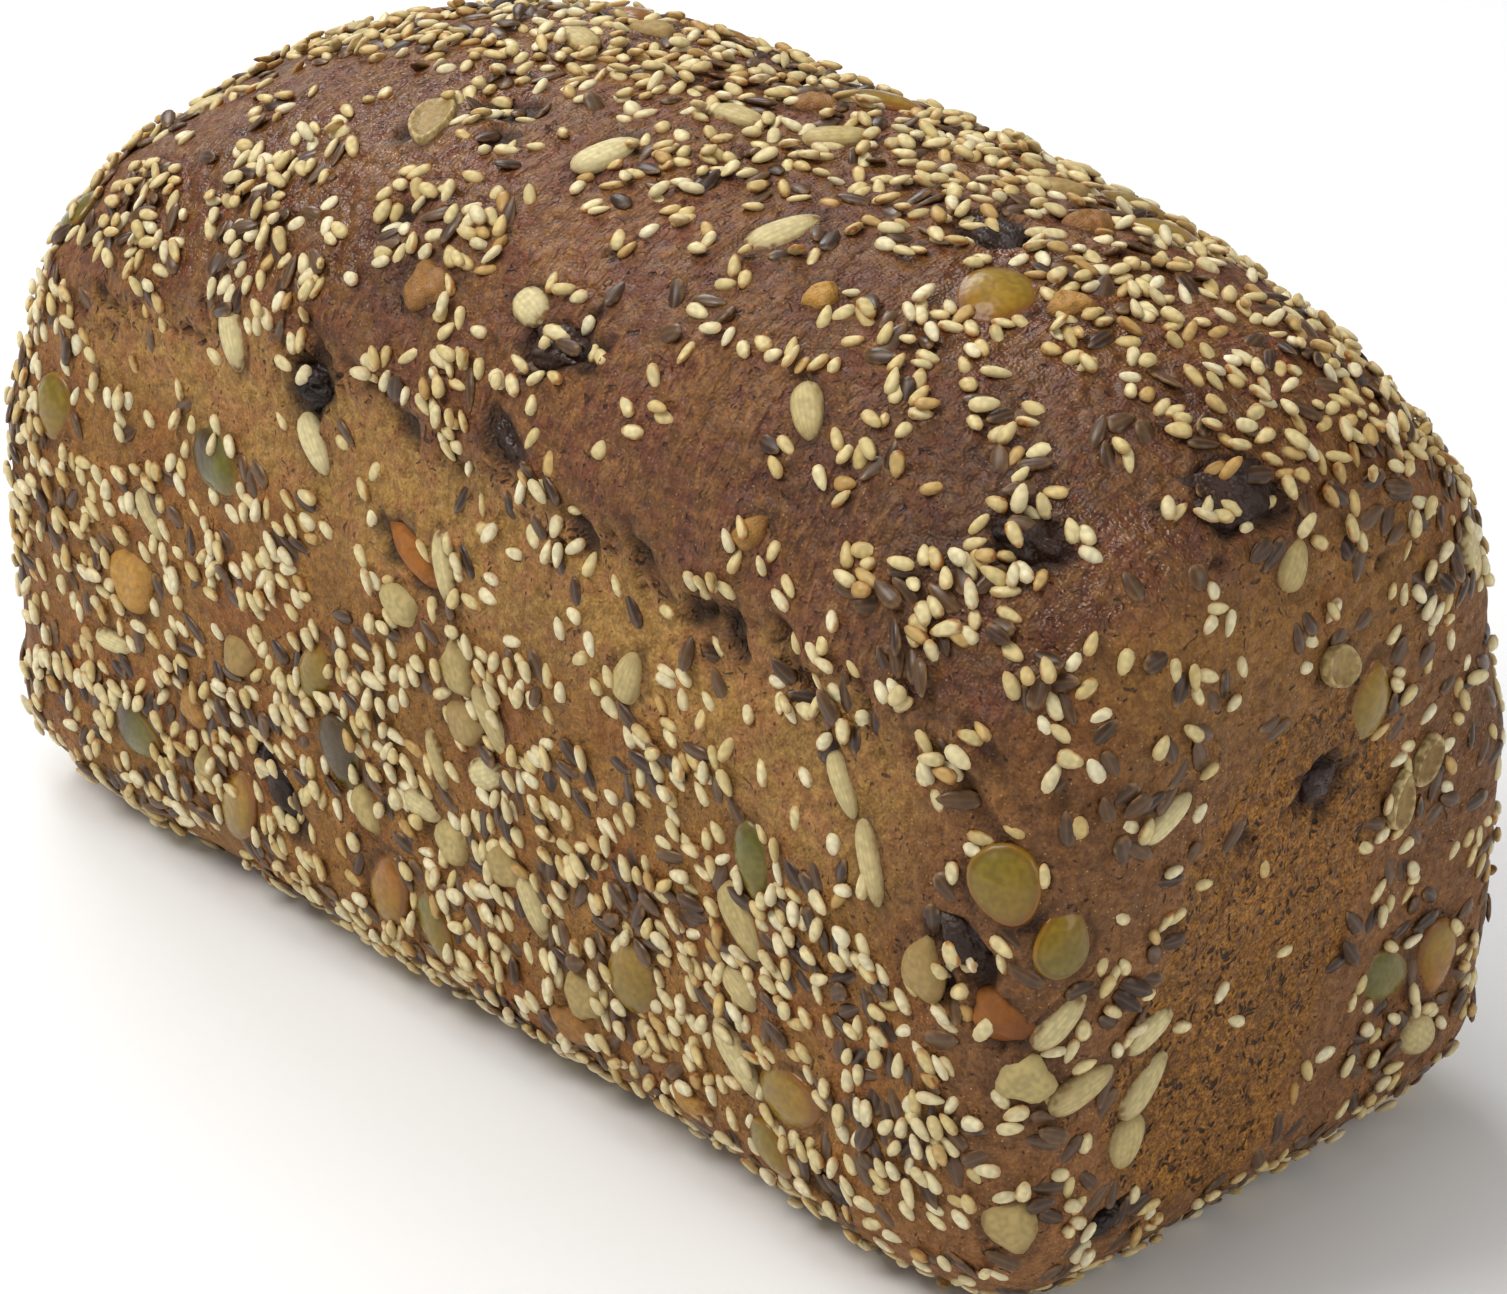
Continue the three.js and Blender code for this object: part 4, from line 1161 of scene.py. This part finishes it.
def srgb(red, green, blue):
    """A linear colour from the 0 to 255 values seen in the photo."""
    def linear(value):
        value /= 255
        return value / 12.92 if value <= 0.04045 else ((value + 0.055) / 1.055) ** 2.4
    return (linear(red), linear(green), linear(blue), 1)


class Graph:
    """Adds nodes to one node tree; an input is given as a number, a colour or another's output."""

    def __init__(self, tree):
        self.tree = tree

    def add(self, kind, inputs=None, **settings):
        made = self.tree.nodes.new(kind)
        for name, value in settings.items():
            setattr(made, name, value)
        for name, value in (inputs or {}).items():
            self.feed(made.inputs[name], value)
        return made

    def feed(self, socket, value):
        if isinstance(value, bpy.types.NodeSocket):
            self.tree.links.new(value, socket)
        else:
            socket.default_value = value

    def math(self, operation, first, second=0.0, clamp=False):
        made = self.add("ShaderNodeMath", {0: first, 1: second}, operation=operation)
        made.use_clamp = clamp
        return made.outputs[0]

    def plus(self, first, second):
        return self.math("ADD", first, second)

    def minus(self, first, second):
        return self.math("SUBTRACT", first, second)

    def times(self, first, second):
        return self.math("MULTIPLY", first, second)

    def mix(self, factor, first, second, mode="MIX"):
        made = self.add("ShaderNodeMix", data_type="RGBA", blend_type=mode)
        self.feed(made.inputs[0], factor)
        self.feed(made.inputs[6], first)
        self.feed(made.inputs[7], second)
        return made.outputs[2]

    def value(self, name):
        return self.add("ShaderNodeAttribute", attribute_name=name).outputs["Fac"]

    def range(self, value, low, high, to_low=0.0, to_high=1.0):
        made = self.add("ShaderNodeMapRange", {
            "Value": value, "From Min": low, "From Max": high,
            "To Min": to_low, "To Max": to_high,
        }, interpolation_type="SMOOTHSTEP")
        return made.outputs["Result"]

    def place(self):
        """The place on the object, in millimetres."""
        at = self.add("ShaderNodeTexCoord").outputs["Object"]
        scaled = self.add("ShaderNodeVectorMath", {0: at, "Scale": 1 / MM}, operation="SCALE")
        return scaled.outputs[0]

    def noise(self, vector, scale, detail=3.0, rough=0.55):
        made = self.add("ShaderNodeTexNoise", {
            "Vector": vector, "Scale": scale, "Detail": detail, "Roughness": rough,
        })
        return made.outputs["Fac"]

    def shade(self, colour, factor):
        """A colour made darker or lighter by a factor."""
        return self.mix(1.0, colour, factor, "MULTIPLY")

    def vector_math(self, operation, first, second):
        made = self.add("ShaderNodeVectorMath", {0: first, 1: second}, operation=operation)
        return made.outputs[0]


def shared_group(name, inputs, outputs, build):
    """A node group used by several materials, with named inputs and outputs."""
    tree = bpy.data.node_groups.new(name, "ShaderNodeTree")
    for key, kind, default in inputs:
        socket = tree.interface.new_socket(key, in_out="INPUT", socket_type=kind)
        if default is not None:
            socket.default_value = default
    for key, kind in outputs:
        tree.interface.new_socket(key, in_out="OUTPUT", socket_type=kind)
    graph = Graph(tree)
    given = graph.add("NodeGroupInput").outputs
    results = build(graph, given)
    end = graph.add("NodeGroupOutput")
    for key, result in results.items():
        graph.feed(end.inputs[key], result)
    return tree


FLOAT, COLOUR, VECTOR = "NodeSocketFloat", "NodeSocketColor", "NodeSocketVector"


def pores_group():
    """A mask of small round holes or flecks of many sizes."""
    def build(graph, given):
        at = graph.vector_math("DIVIDE", given["Place"], given["Stretch"])
        cells = graph.add("ShaderNodeTexVoronoi", {"Vector": at, "Scale": 1.0})
        chance = graph.add("ShaderNodeSeparateColor", {"Color": cells.outputs["Color"]})
        radius = graph.times(chance.outputs["Red"], given["Share"])
        hole = graph.range(cells.outputs["Distance"], graph.times(radius, 0.45), radius, 1.0, 0.0)
        return {"Mask": hole}
    return shared_group(
        "pores",
        [("Place", VECTOR, None), ("Stretch", VECTOR, (1, 1, 1)), ("Share", FLOAT, 0.4)],
        [("Mask", FLOAT)], build)


def mottle_group():
    """Uneven colour: soft noise of three sizes, and a factor round 1 to multiply a colour by."""
    def build(graph, given):
        broad = graph.noise(given["Place"], 0.06, 1.0)
        patch = graph.noise(given["Place"], 0.24, 1.0)
        close = graph.noise(given["Place"], 0.8, 2.0, 0.65)
        both = graph.plus(graph.times(graph.plus(broad, patch), 0.8), graph.times(close, 0.6))
        swing = graph.times(graph.minus(both, 1.1), given["Contrast"])
        return {"Factor": graph.plus(swing, 1.0), "Noise": close, "Patch": patch, "Broad": broad}
    return shared_group(
        "mottle", [("Place", VECTOR, None), ("Contrast", FLOAT, 1.0)],
        [("Factor", FLOAT), ("Noise", FLOAT), ("Patch", FLOAT), ("Broad", FLOAT)], build)


def grain_group():
    """Fine grain as a height, with an uneven roughness to go with it."""
    def build(graph, given):
        at = graph.vector_math("DIVIDE", given["Place"], given["Size"])
        fine = graph.noise(at, 1.2, 0.0)
        coarse = graph.noise(at, 0.25, 0.0)
        height = graph.plus(graph.times(fine, 0.5), graph.times(coarse, 2.1))
        rough = graph.range(coarse, 0.25, 0.75, given["Smoothest"], given["Roughest"])
        return {"Height": height, "Roughness": rough}
    return shared_group(
        "grain",
        [("Place", VECTOR, None), ("Size", VECTOR, (0.4, 0.4, 0.4)), ("Smoothest", FLOAT, 0.4),
         ("Roughest", FLOAT, 0.7)],
        [("Height", FLOAT), ("Roughness", FLOAT)], build)


def seed_skin_group():
    """A seed's colour: each seed between two colours, browned at its rim, and blotched."""
    def build(graph, given):
        tint = graph.value("tint")
        body = graph.mix(tint, given["Pale"], given["Deep"])
        blotch = graph.noise(given["Place"], 1.2, 0.0)
        tip = graph.range(graph.value("along"), 0.72, 0.98)
        edge = graph.range(graph.value("rim"), 0.25, 1.0)
        toast = graph.times(graph.math("MAXIMUM", tip, edge), given["Toast"])
        uneven = graph.range(blotch, 0.30, 0.70, 0.30, 1.20)
        chance = graph.math("FRACT", graph.times(tint, 7.3))
        swing = graph.range(chance, 0.0, 1.0, 0.5, 1.4)
        toast = graph.math("MULTIPLY", graph.times(toast, uneven), swing, clamp=True)
        colour = graph.mix(toast, body, given["Rim"])
        shaded = graph.shade(colour, graph.range(blotch, 0.24, 0.76, 0.82, 1.08))
        return {"Color": shaded, "Blotch": blotch}
    return shared_group(
        "seed_skin",
        [("Place", VECTOR, None), ("Pale", COLOUR, None), ("Deep", COLOUR, None),
         ("Rim", COLOUR, None), ("Toast", FLOAT, 0.5)],
        [("Color", COLOUR), ("Blotch", FLOAT)], build)


def shared_groups():
    return {
        "pores": pores_group(),
        "mottle": mottle_group(),
        "grain": grain_group(),
        "seed_skin": seed_skin_group(),
    }


def new_material(name):
    material = bpy.data.materials.new(name)
    material.use_nodes = True
    material.node_tree.nodes.clear()
    return material, Graph(material.node_tree)


def use_group(graph, tree, **inputs):
    made = graph.add("ShaderNodeGroup", node_tree=tree)
    for name, value in inputs.items():
        graph.feed(made.inputs[name], value)
    return made.outputs


def use_grain(graph, groups, at, size, rough):
    """The shared grain at a size in millimetres, between its smoothest and its roughest."""
    return use_group(graph, groups["grain"], Place=at, Size=(size, size, size),
                     Smoothest=rough[0], Roughest=rough[1])


def use_seed_skin(graph, groups, at, name):
    look = SEED_LOOKS[name]
    return use_group(graph, groups["seed_skin"], Place=at, Pale=srgb(*look["pale"]),
                     Deep=srgb(*look["deep"]), Rim=srgb(*look["rim"]), Toast=look["toast"])


def finish_surface(graph, colour, roughness, height, depth, specular):
    """The Principled shader at the end of a material; height is bumped to depth millimetres."""
    shader = graph.add("ShaderNodeBsdfPrincipled", {"Base Color": colour, "Roughness": roughness})
    shader.inputs["Specular IOR Level"].default_value = specular
    if depth:
        bump = graph.add("ShaderNodeBump", {"Height": height, "Distance": depth * MM})
        graph.feed(shader.inputs["Normal"], bump.outputs[0])
    output = graph.add("ShaderNodeOutputMaterial")
    graph.tree.links.new(shader.outputs[0], output.inputs["Surface"])


def two_tone(graph, noise, dark, light):
    """A mix of a darker and a lighter colour by a noise."""
    return graph.mix(graph.range(noise, 0.30, 0.70), srgb(*dark), srgb(*light))


def crust_by_zone(graph, mottle):
    """The crust's colour in each zone, always between a darker and a lighter tone."""
    def tone(name):
        return two_tone(graph, mottle["Noise"], *CRUST_TONES[name])

    reddish = graph.range(mottle["Patch"], 0.42, 0.62)
    ruddy = graph.range(mottle["Broad"], 0.42, 0.62, 0.0, 0.75)
    colour = graph.mix(ruddy, tone("dough"), tone("ruddy"))
    torn_dough = graph.mix(reddish, tone("torn_gold"), tone("torn_tan"))
    colour = graph.mix(graph.value("band"), colour, torn_dough)
    colour = graph.mix(graph.value("flecked"), colour, tone("flecked"))
    skin = graph.mix(reddish, tone("skin_brown"), tone("skin_red"))
    colour = graph.mix(graph.value("browned"), colour, skin)
    colour = graph.mix(graph.value("bare"), colour, tone("bare"))
    colour = graph.mix(graph.times(graph.value("scorch"), 0.92), colour, tone("burnt"))
    return graph.shade(colour, mottle["Factor"])


def crown_streaks(graph, at, mottle):
    """How far the dome's skin was stretched, and a noise of short streaks round the dome."""
    split = graph.add("ShaderNodeSeparateXYZ", {0: at})
    unrolled = graph.add("ShaderNodeCombineXYZ", {0: split.outputs[0], 1: graph.value("arc")})
    drawn_out = graph.vector_math("MULTIPLY", unrolled.outputs[0], (0.95, 0.30, 1))
    broad = graph.range(mottle["Broad"], 0.40, 0.56, 0.3, 1.0)
    return graph.times(graph.value("browned"), broad), graph.noise(drawn_out, 1.0, 1.0, 0.6)


def crumb_pits(graph, groups, at, patch):
    """A mask of the pits in the crust, with more and larger ones where the crumb lies open."""
    open_crumb = graph.math(
        "ADD", graph.value("bare"), graph.times(graph.value("tear"), 0.6), clamp=True)
    share = graph.range(open_crumb, 0.0, 1.0, 0.32, 0.56)
    share = graph.times(share, graph.range(patch, 0.35, 0.65, 0.6, 1.25))
    warp = graph.add("ShaderNodeTexNoise", {"Vector": at, "Scale": 0.5, "Detail": 0.0})
    push = graph.vector_math("MULTIPLY", warp.outputs["Color"], (5.0, 5.0, 3.0))
    holes = use_group(graph, groups["pores"], Place=graph.vector_math("ADD", at, push),
                      Stretch=(1.2, 1.2, 2.2), Share=share)
    return graph.times(holes["Mask"], graph.range(open_crumb, 0.0, 1.0, 0.75, 1.0))


def crust_material(groups):
    material, graph = new_material("crust")
    at = graph.place()
    bare, torn = graph.value("bare"), graph.value("torn")
    mottle = use_group(graph, groups["mottle"], Place=at, Contrast=0.85)
    colour = crust_by_zone(graph, mottle)

    stretched, streak = crown_streaks(graph, at, mottle)
    golden = graph.times(stretched, graph.range(streak, 0.525, 0.73, 0.0, 0.32))
    colour = graph.mix(golden, colour, srgb(*STREAK_GOLD))
    cracks = graph.times(stretched, graph.range(streak, 0.27, 0.41, 0.34, 0.0))
    colour = graph.mix(cracks, colour, srgb(*CRACK_BROWN))

    speck = graph.range(graph.noise(at, 2.2, 1.0, 0.6), 0.34, 0.66, -1.0, 1.0)
    swing = graph.plus(0.14, graph.times(bare, 0.22))
    colour = graph.shade(colour, graph.plus(1.0, graph.times(speck, swing)))
    flecks = use_group(graph, groups["pores"], Place=at, Stretch=(0.70, 0.70, 0.70), Share=0.26)
    shown = graph.plus(0.45, graph.times(graph.value("flecked"), 0.35))
    colour = graph.mix(graph.times(flecks["Mask"], shown), colour, srgb(*FLECK_PALE))

    pits = crumb_pits(graph, groups, at, mottle["Patch"])
    # Painted shade in the crumb's pits.
    colour = graph.mix(graph.times(pits, 0.88), colour, srgb(*PIT_SHADE))
    # Painted shade in the torn splits, holes, creases, seed grooves, pits and fruit openings.
    colour = graph.mix(graph.times(torn, 0.88), colour, srgb(*HOLLOW_SHADE))

    grain = use_grain(graph, groups, at, 0.50, (0.62, 0.80))
    shine = graph.range(graph.value("glossy"), 0.0, 0.7, 0.10, 0.40)
    shine = graph.times(graph.times(graph.value("browned"), shine), graph.minus(1.0, torn))
    height = graph.times(grain["Height"], graph.plus(0.75, graph.times(bare, 0.35)))
    height = graph.plus(height, graph.times(streak, stretched))
    height = graph.minus(height, graph.times(pits, 1.2))
    roughness = graph.minus(grain["Roughness"], shine)
    finish_surface(graph, colour, roughness, height, 0.80, 0.40)
    return material


def seed_material(name, groups):
    """A plain seed's material: its skin's colours, a fine grain, and how glossy it is."""
    look = SEED_LOOKS[name]
    material, graph = new_material(name)
    at = graph.place()
    skin = use_seed_skin(graph, groups, at, name)
    grain = use_grain(graph, groups, at, 0.35, look["rough"])
    finish_surface(graph, skin["Color"], grain["Roughness"], grain["Height"], look["depth"], 0.3)
    return material


def linseed_material(groups):
    """Linseed: dark brown and half glossy, with a painted highlight as a paler line along its middle.
    """
    material, graph = new_material("linseed")
    at = graph.place()
    skin = use_seed_skin(graph, groups, at, "linseed")
    from_middle = graph.math("ABSOLUTE", graph.value("across"))
    # Painted highlight along the middle of the seed.
    ridge = graph.range(from_middle, 0.0, 0.30, 0.22, 0.0)
    colour = graph.mix(ridge, skin["Color"], srgb(*LINSEED_RIDGE_HIGHLIGHT))
    grain = use_grain(graph, groups, at, 0.5, SEED_LOOKS["linseed"]["rough"])
    finish_surface(graph, colour, grain["Roughness"], grain["Height"], 0, 0.4)
    return material


def kernel_material(groups):
    """A sunflower kernel: beige, with fine lines along it."""
    material, graph = new_material("kernel")
    at = graph.place()
    skin = use_seed_skin(graph, groups, at, "kernel")
    grain = use_grain(graph, groups, at, 0.5, SEED_LOOKS["kernel"]["rough"])
    waves = graph.math("SINE", graph.times(graph.value("across"), 21.0))
    wandering = graph.plus(waves, graph.times(skin["Blotch"], 2.0))
    height = graph.plus(graph.times(wandering, 0.04), graph.times(grain["Height"], 0.7))
    colour = graph.shade(skin["Color"], graph.range(wandering, 0.8, 2.0, 1.03, 0.92))
    finish_surface(graph, colour, grain["Roughness"], height, SEED_LOOKS["kernel"]["depth"], 0.4)
    return material


def pumpkin_tone(graph, rim):
    """How ripe a hulled pumpkin seed is at each place: by its tone, along it and at its edge."""
    along = graph.times(graph.minus(graph.value("along"), 0.5), 0.40)
    tone = graph.plus(graph.value("tint"), along)
    return graph.plus(tone, graph.range(rim, 0.35, 0.9, -0.08, 0.22))


def pumpkin_material(groups):
    """A hulled pumpkin seed: dark green to amber by its tone, with a darker line inside its edge."""
    material, graph = new_material("pumpkin")
    at = graph.place()
    rim = graph.value("rim")
    ramp = graph.add("ShaderNodeValToRGB", {"Fac": pumpkin_tone(graph, rim)})
    elements = ramp.color_ramp.elements
    while len(elements) < len(PUMPKIN_RIPENING):
        elements.new(0.5)
    for element, (position, colour) in zip(elements, PUMPKIN_RIPENING):
        element.position = position
        element.color = srgb(*colour)
    skin = use_group(graph, groups["seed_skin"], Place=at, Pale=ramp.outputs[0],
                     Deep=ramp.outputs[0], Rim=srgb(*PUMPKIN_RIM), Toast=0.70)
    mottle = use_group(graph, groups["mottle"], Place=at, Contrast=0.35)
    colour = graph.shade(skin["Color"], mottle["Factor"])
    outline = graph.times(graph.range(rim, 0.42, 0.60), graph.range(rim, 0.68, 0.82, 1.0, 0.0))
    colour = graph.mix(graph.times(outline, 0.22), colour, srgb(*PUMPKIN_LINE))
    grain = use_grain(graph, groups, at, 1.0, (0.20, 0.36))
    finish_surface(graph, colour, grain["Roughness"], grain["Height"], 0.12, 0.45)
    return material


def fruit_material(name, groups):
    """Dried fruit: between a dark and a lighter tone by a broad noise, blotched, half glossy."""
    look = FRUIT_LOOKS[name]
    material, graph = new_material(name)
    at = graph.place()
    mottle = use_group(graph, groups["mottle"], Place=at, Contrast=0.9)
    grain = use_grain(graph, groups, at, look["grain"], look["rough"])
    colour = two_tone(graph, mottle["Broad"], look["low"], look["high"])
    colour = graph.shade(colour, mottle["Factor"])
    finish_surface(graph, colour, grain["Roughness"], grain["Height"], look["depth"], look["specular"])
    return material


def finish_piece(piece, material):
    """Gives a piece its material and slot, and fixes it to the loaf."""
    piece.data.materials.clear()
    piece.data.materials.append(material)
    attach(piece, "root")


def materials():
    groups = shared_groups()
    paints = {
        "crust": crust_material(groups),
        "linseed": linseed_material(groups),
        "kernel": kernel_material(groups),
        "pumpkin": pumpkin_material(groups),
    }
    for name in (*SESAME_KINDS, "husk", "bean", "kibble"):
        paints[name] = seed_material(name, groups)
    for name in FRUIT_LOOKS:
        paints[name] = fruit_material(name, groups)
    return paints


# ---- Camera, floor and light --------------------------------------------------------------------

# Angles in degrees, azimuth from the near side round to the end, and distances in millimetres.
CAMERA = dict(
    azimuth=45.99, elevation=28.31, roll=0.8, away=683.9, target=(8.43, -1.17, 47.79), lens=119.98)
LIGHTS_AIM = (0, 0, 60)
# Each light's size in metres, watts, colour, azimuth, elevation and distance.
LIGHTS = {
    "key": ((0.5, 0.5), 9.5, (1.0, 0.99, 0.97), -30, 52, 1300),
    "overhead": ((0.5, 0.5), 3.6, (0.98, 0.99, 1.0), -20, 80, 1300),
    "window": ((0.6, 0.5), 6.5, (0.97, 0.98, 1.0), -112, 38, 1300),
    "fill": ((0.9, 0.9), 4.9, (1.0, 0.99, 0.97), 98, 25, 1500),
}
FLOOR_HALF = 4000
WHITE = (1.0, 1.0, 1.0, 1.0)
FLOOR_PALE = (0.94, 0.94, 0.94, 1.0)
WORLD_STRENGTH = 0.28


def facing(azimuth, elevation, roll=0.0):
    """Right, up and backward directions of something that looks at the loaf from an angle."""
    a, e, r = (math.radians(v) for v in (azimuth, elevation, roll))
    back = Vector((math.sin(a) * math.cos(e), -math.cos(a) * math.cos(e), math.sin(e)))
    right = Vector((math.cos(a), math.sin(a), 0))
    up = back.cross(right)
    return (
        right * math.cos(r) + up * math.sin(r),
        up * math.cos(r) - right * math.sin(r),
        back,
    )


def aim_from(item, azimuth, elevation, away, target, roll=0.0):
    right, up, back = facing(azimuth, elevation, roll)
    turn = Matrix((right, up, back)).transposed().to_4x4()
    item.matrix_world = Matrix.Translation((Vector(target) + back * away) * MM) @ turn


def add_camera():
    data = bpy.data.cameras.new("camera")
    data.lens = CAMERA["lens"]
    data.clip_start = 0.05
    camera = bpy.data.objects.new("camera", data)
    bpy.context.scene.collection.objects.link(camera)
    aim_from(camera, CAMERA["azimuth"], CAMERA["elevation"], CAMERA["away"], CAMERA["target"],
             CAMERA["roll"])
    bpy.context.scene.camera = camera


def add_light(name, size, power, colour, azimuth, elevation, away):
    data = bpy.data.lights.new(name, "AREA")
    data.shape = "RECTANGLE"
    data.size, data.size_y = size
    data.energy = power
    data.color = colour
    light = bpy.data.objects.new(name, data)
    bpy.context.scene.collection.objects.link(light)
    aim_from(light, azimuth, elevation, away, LIGHTS_AIM)


def add_floor():
    signs = np.array([(-1, -1, 0), (1, -1, 0), (1, 1, 0), (-1, 1, 0)], float)
    floor = mesh_piece("floor", signs * FLOOR_HALF, np.array([(0, 1, 2, 3)]), {})
    material, graph = new_material("floor")
    shader = graph.add("ShaderNodeBsdfPrincipled", {"Base Color": FLOOR_PALE, "Roughness": 0.8})
    output = graph.add("ShaderNodeOutputMaterial")
    graph.tree.links.new(shader.outputs[0], output.inputs["Surface"])
    floor.data.materials.append(material)


def light_scene():
    scene = bpy.context.scene
    world = bpy.data.worlds.new("world")
    world.use_nodes = True
    background = world.node_tree.nodes["Background"]
    background.inputs["Color"].default_value = WHITE
    background.inputs["Strength"].default_value = WORLD_STRENGTH
    scene.world = world
    for name, settings in LIGHTS.items():
        add_light(name, *settings)
    scene.view_settings.view_transform = "Standard"


# ---- The scene ----------------------------------------------------------------------------------


def add_fruit(skin, paints):
    for kind, byface in FRUIT.items():
        piece, points, faces = fruit_piece(kind)
        skin.cover_with(points, faces)
        finish_piece(piece, paints[kind])
        count = sum(len(pieces) for pieces in byface.values())
        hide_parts(*[f"{kind}_{n:02d}" for n in range(1, count + 1)])


def taken_places(seeds):
    """Large seeds and fruit, and the share of each that small seeds keep off."""
    taken = [(piece, frame, TAKEN_BY_SEED) for _, piece, frame, _ in seeds]
    for byface in FRUIT.values():
        for face, piece, frame in placed(byface):
            share = TAKEN_BY_CROWN_FRUIT if face == "crown" else TAKEN_BY_FRUIT
            taken.append((piece, frame, share))
    return taken


def add_small_seeds(skin, crowd, paints):
    """Linseed first, then the sesame between it, sorted into its kinds."""
    laid = lay_seeds(skin, crowd, LINSEED_RATE, LINSEED, DRAW["linseed_places"])
    linseed = small_seeds("linseed", LINSEED, skin, laid, DRAW["linseed_sizes"])
    finish_piece(linseed, paints["linseed"])
    laid = lay_seeds(skin, crowd, SESAME_RATE, SESAME, DRAW["sesame_places"])
    kinds = sesame_kinds(laid[2], DRAW["sesame_kinds"])
    for index, name in enumerate(SESAME_KINDS):
        of_kind = [values[kinds == index] for values in laid]
        sesame = small_seeds(name, SESAME, skin, of_kind, DRAW["sesame_sizes"] + index)
        finish_piece(sesame, paints[name])


def build():
    paints = materials()
    seeds = large_seeds()
    crust, points, faces = build_crust(seeds)
    skin = Skin(points, faces)
    finish_piece(crust, paints["crust"])
    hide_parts("loaf")
    for kind in LARGE_THICK:
        finish_piece(large_piece(kind, seeds, skin), paints[kind])
    add_fruit(skin, paints)
    add_small_seeds(skin, crowd_with(taken_places(seeds)), paints)


def main():
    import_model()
    build()
    add_floor()
    add_camera()
    light_scene()


main()
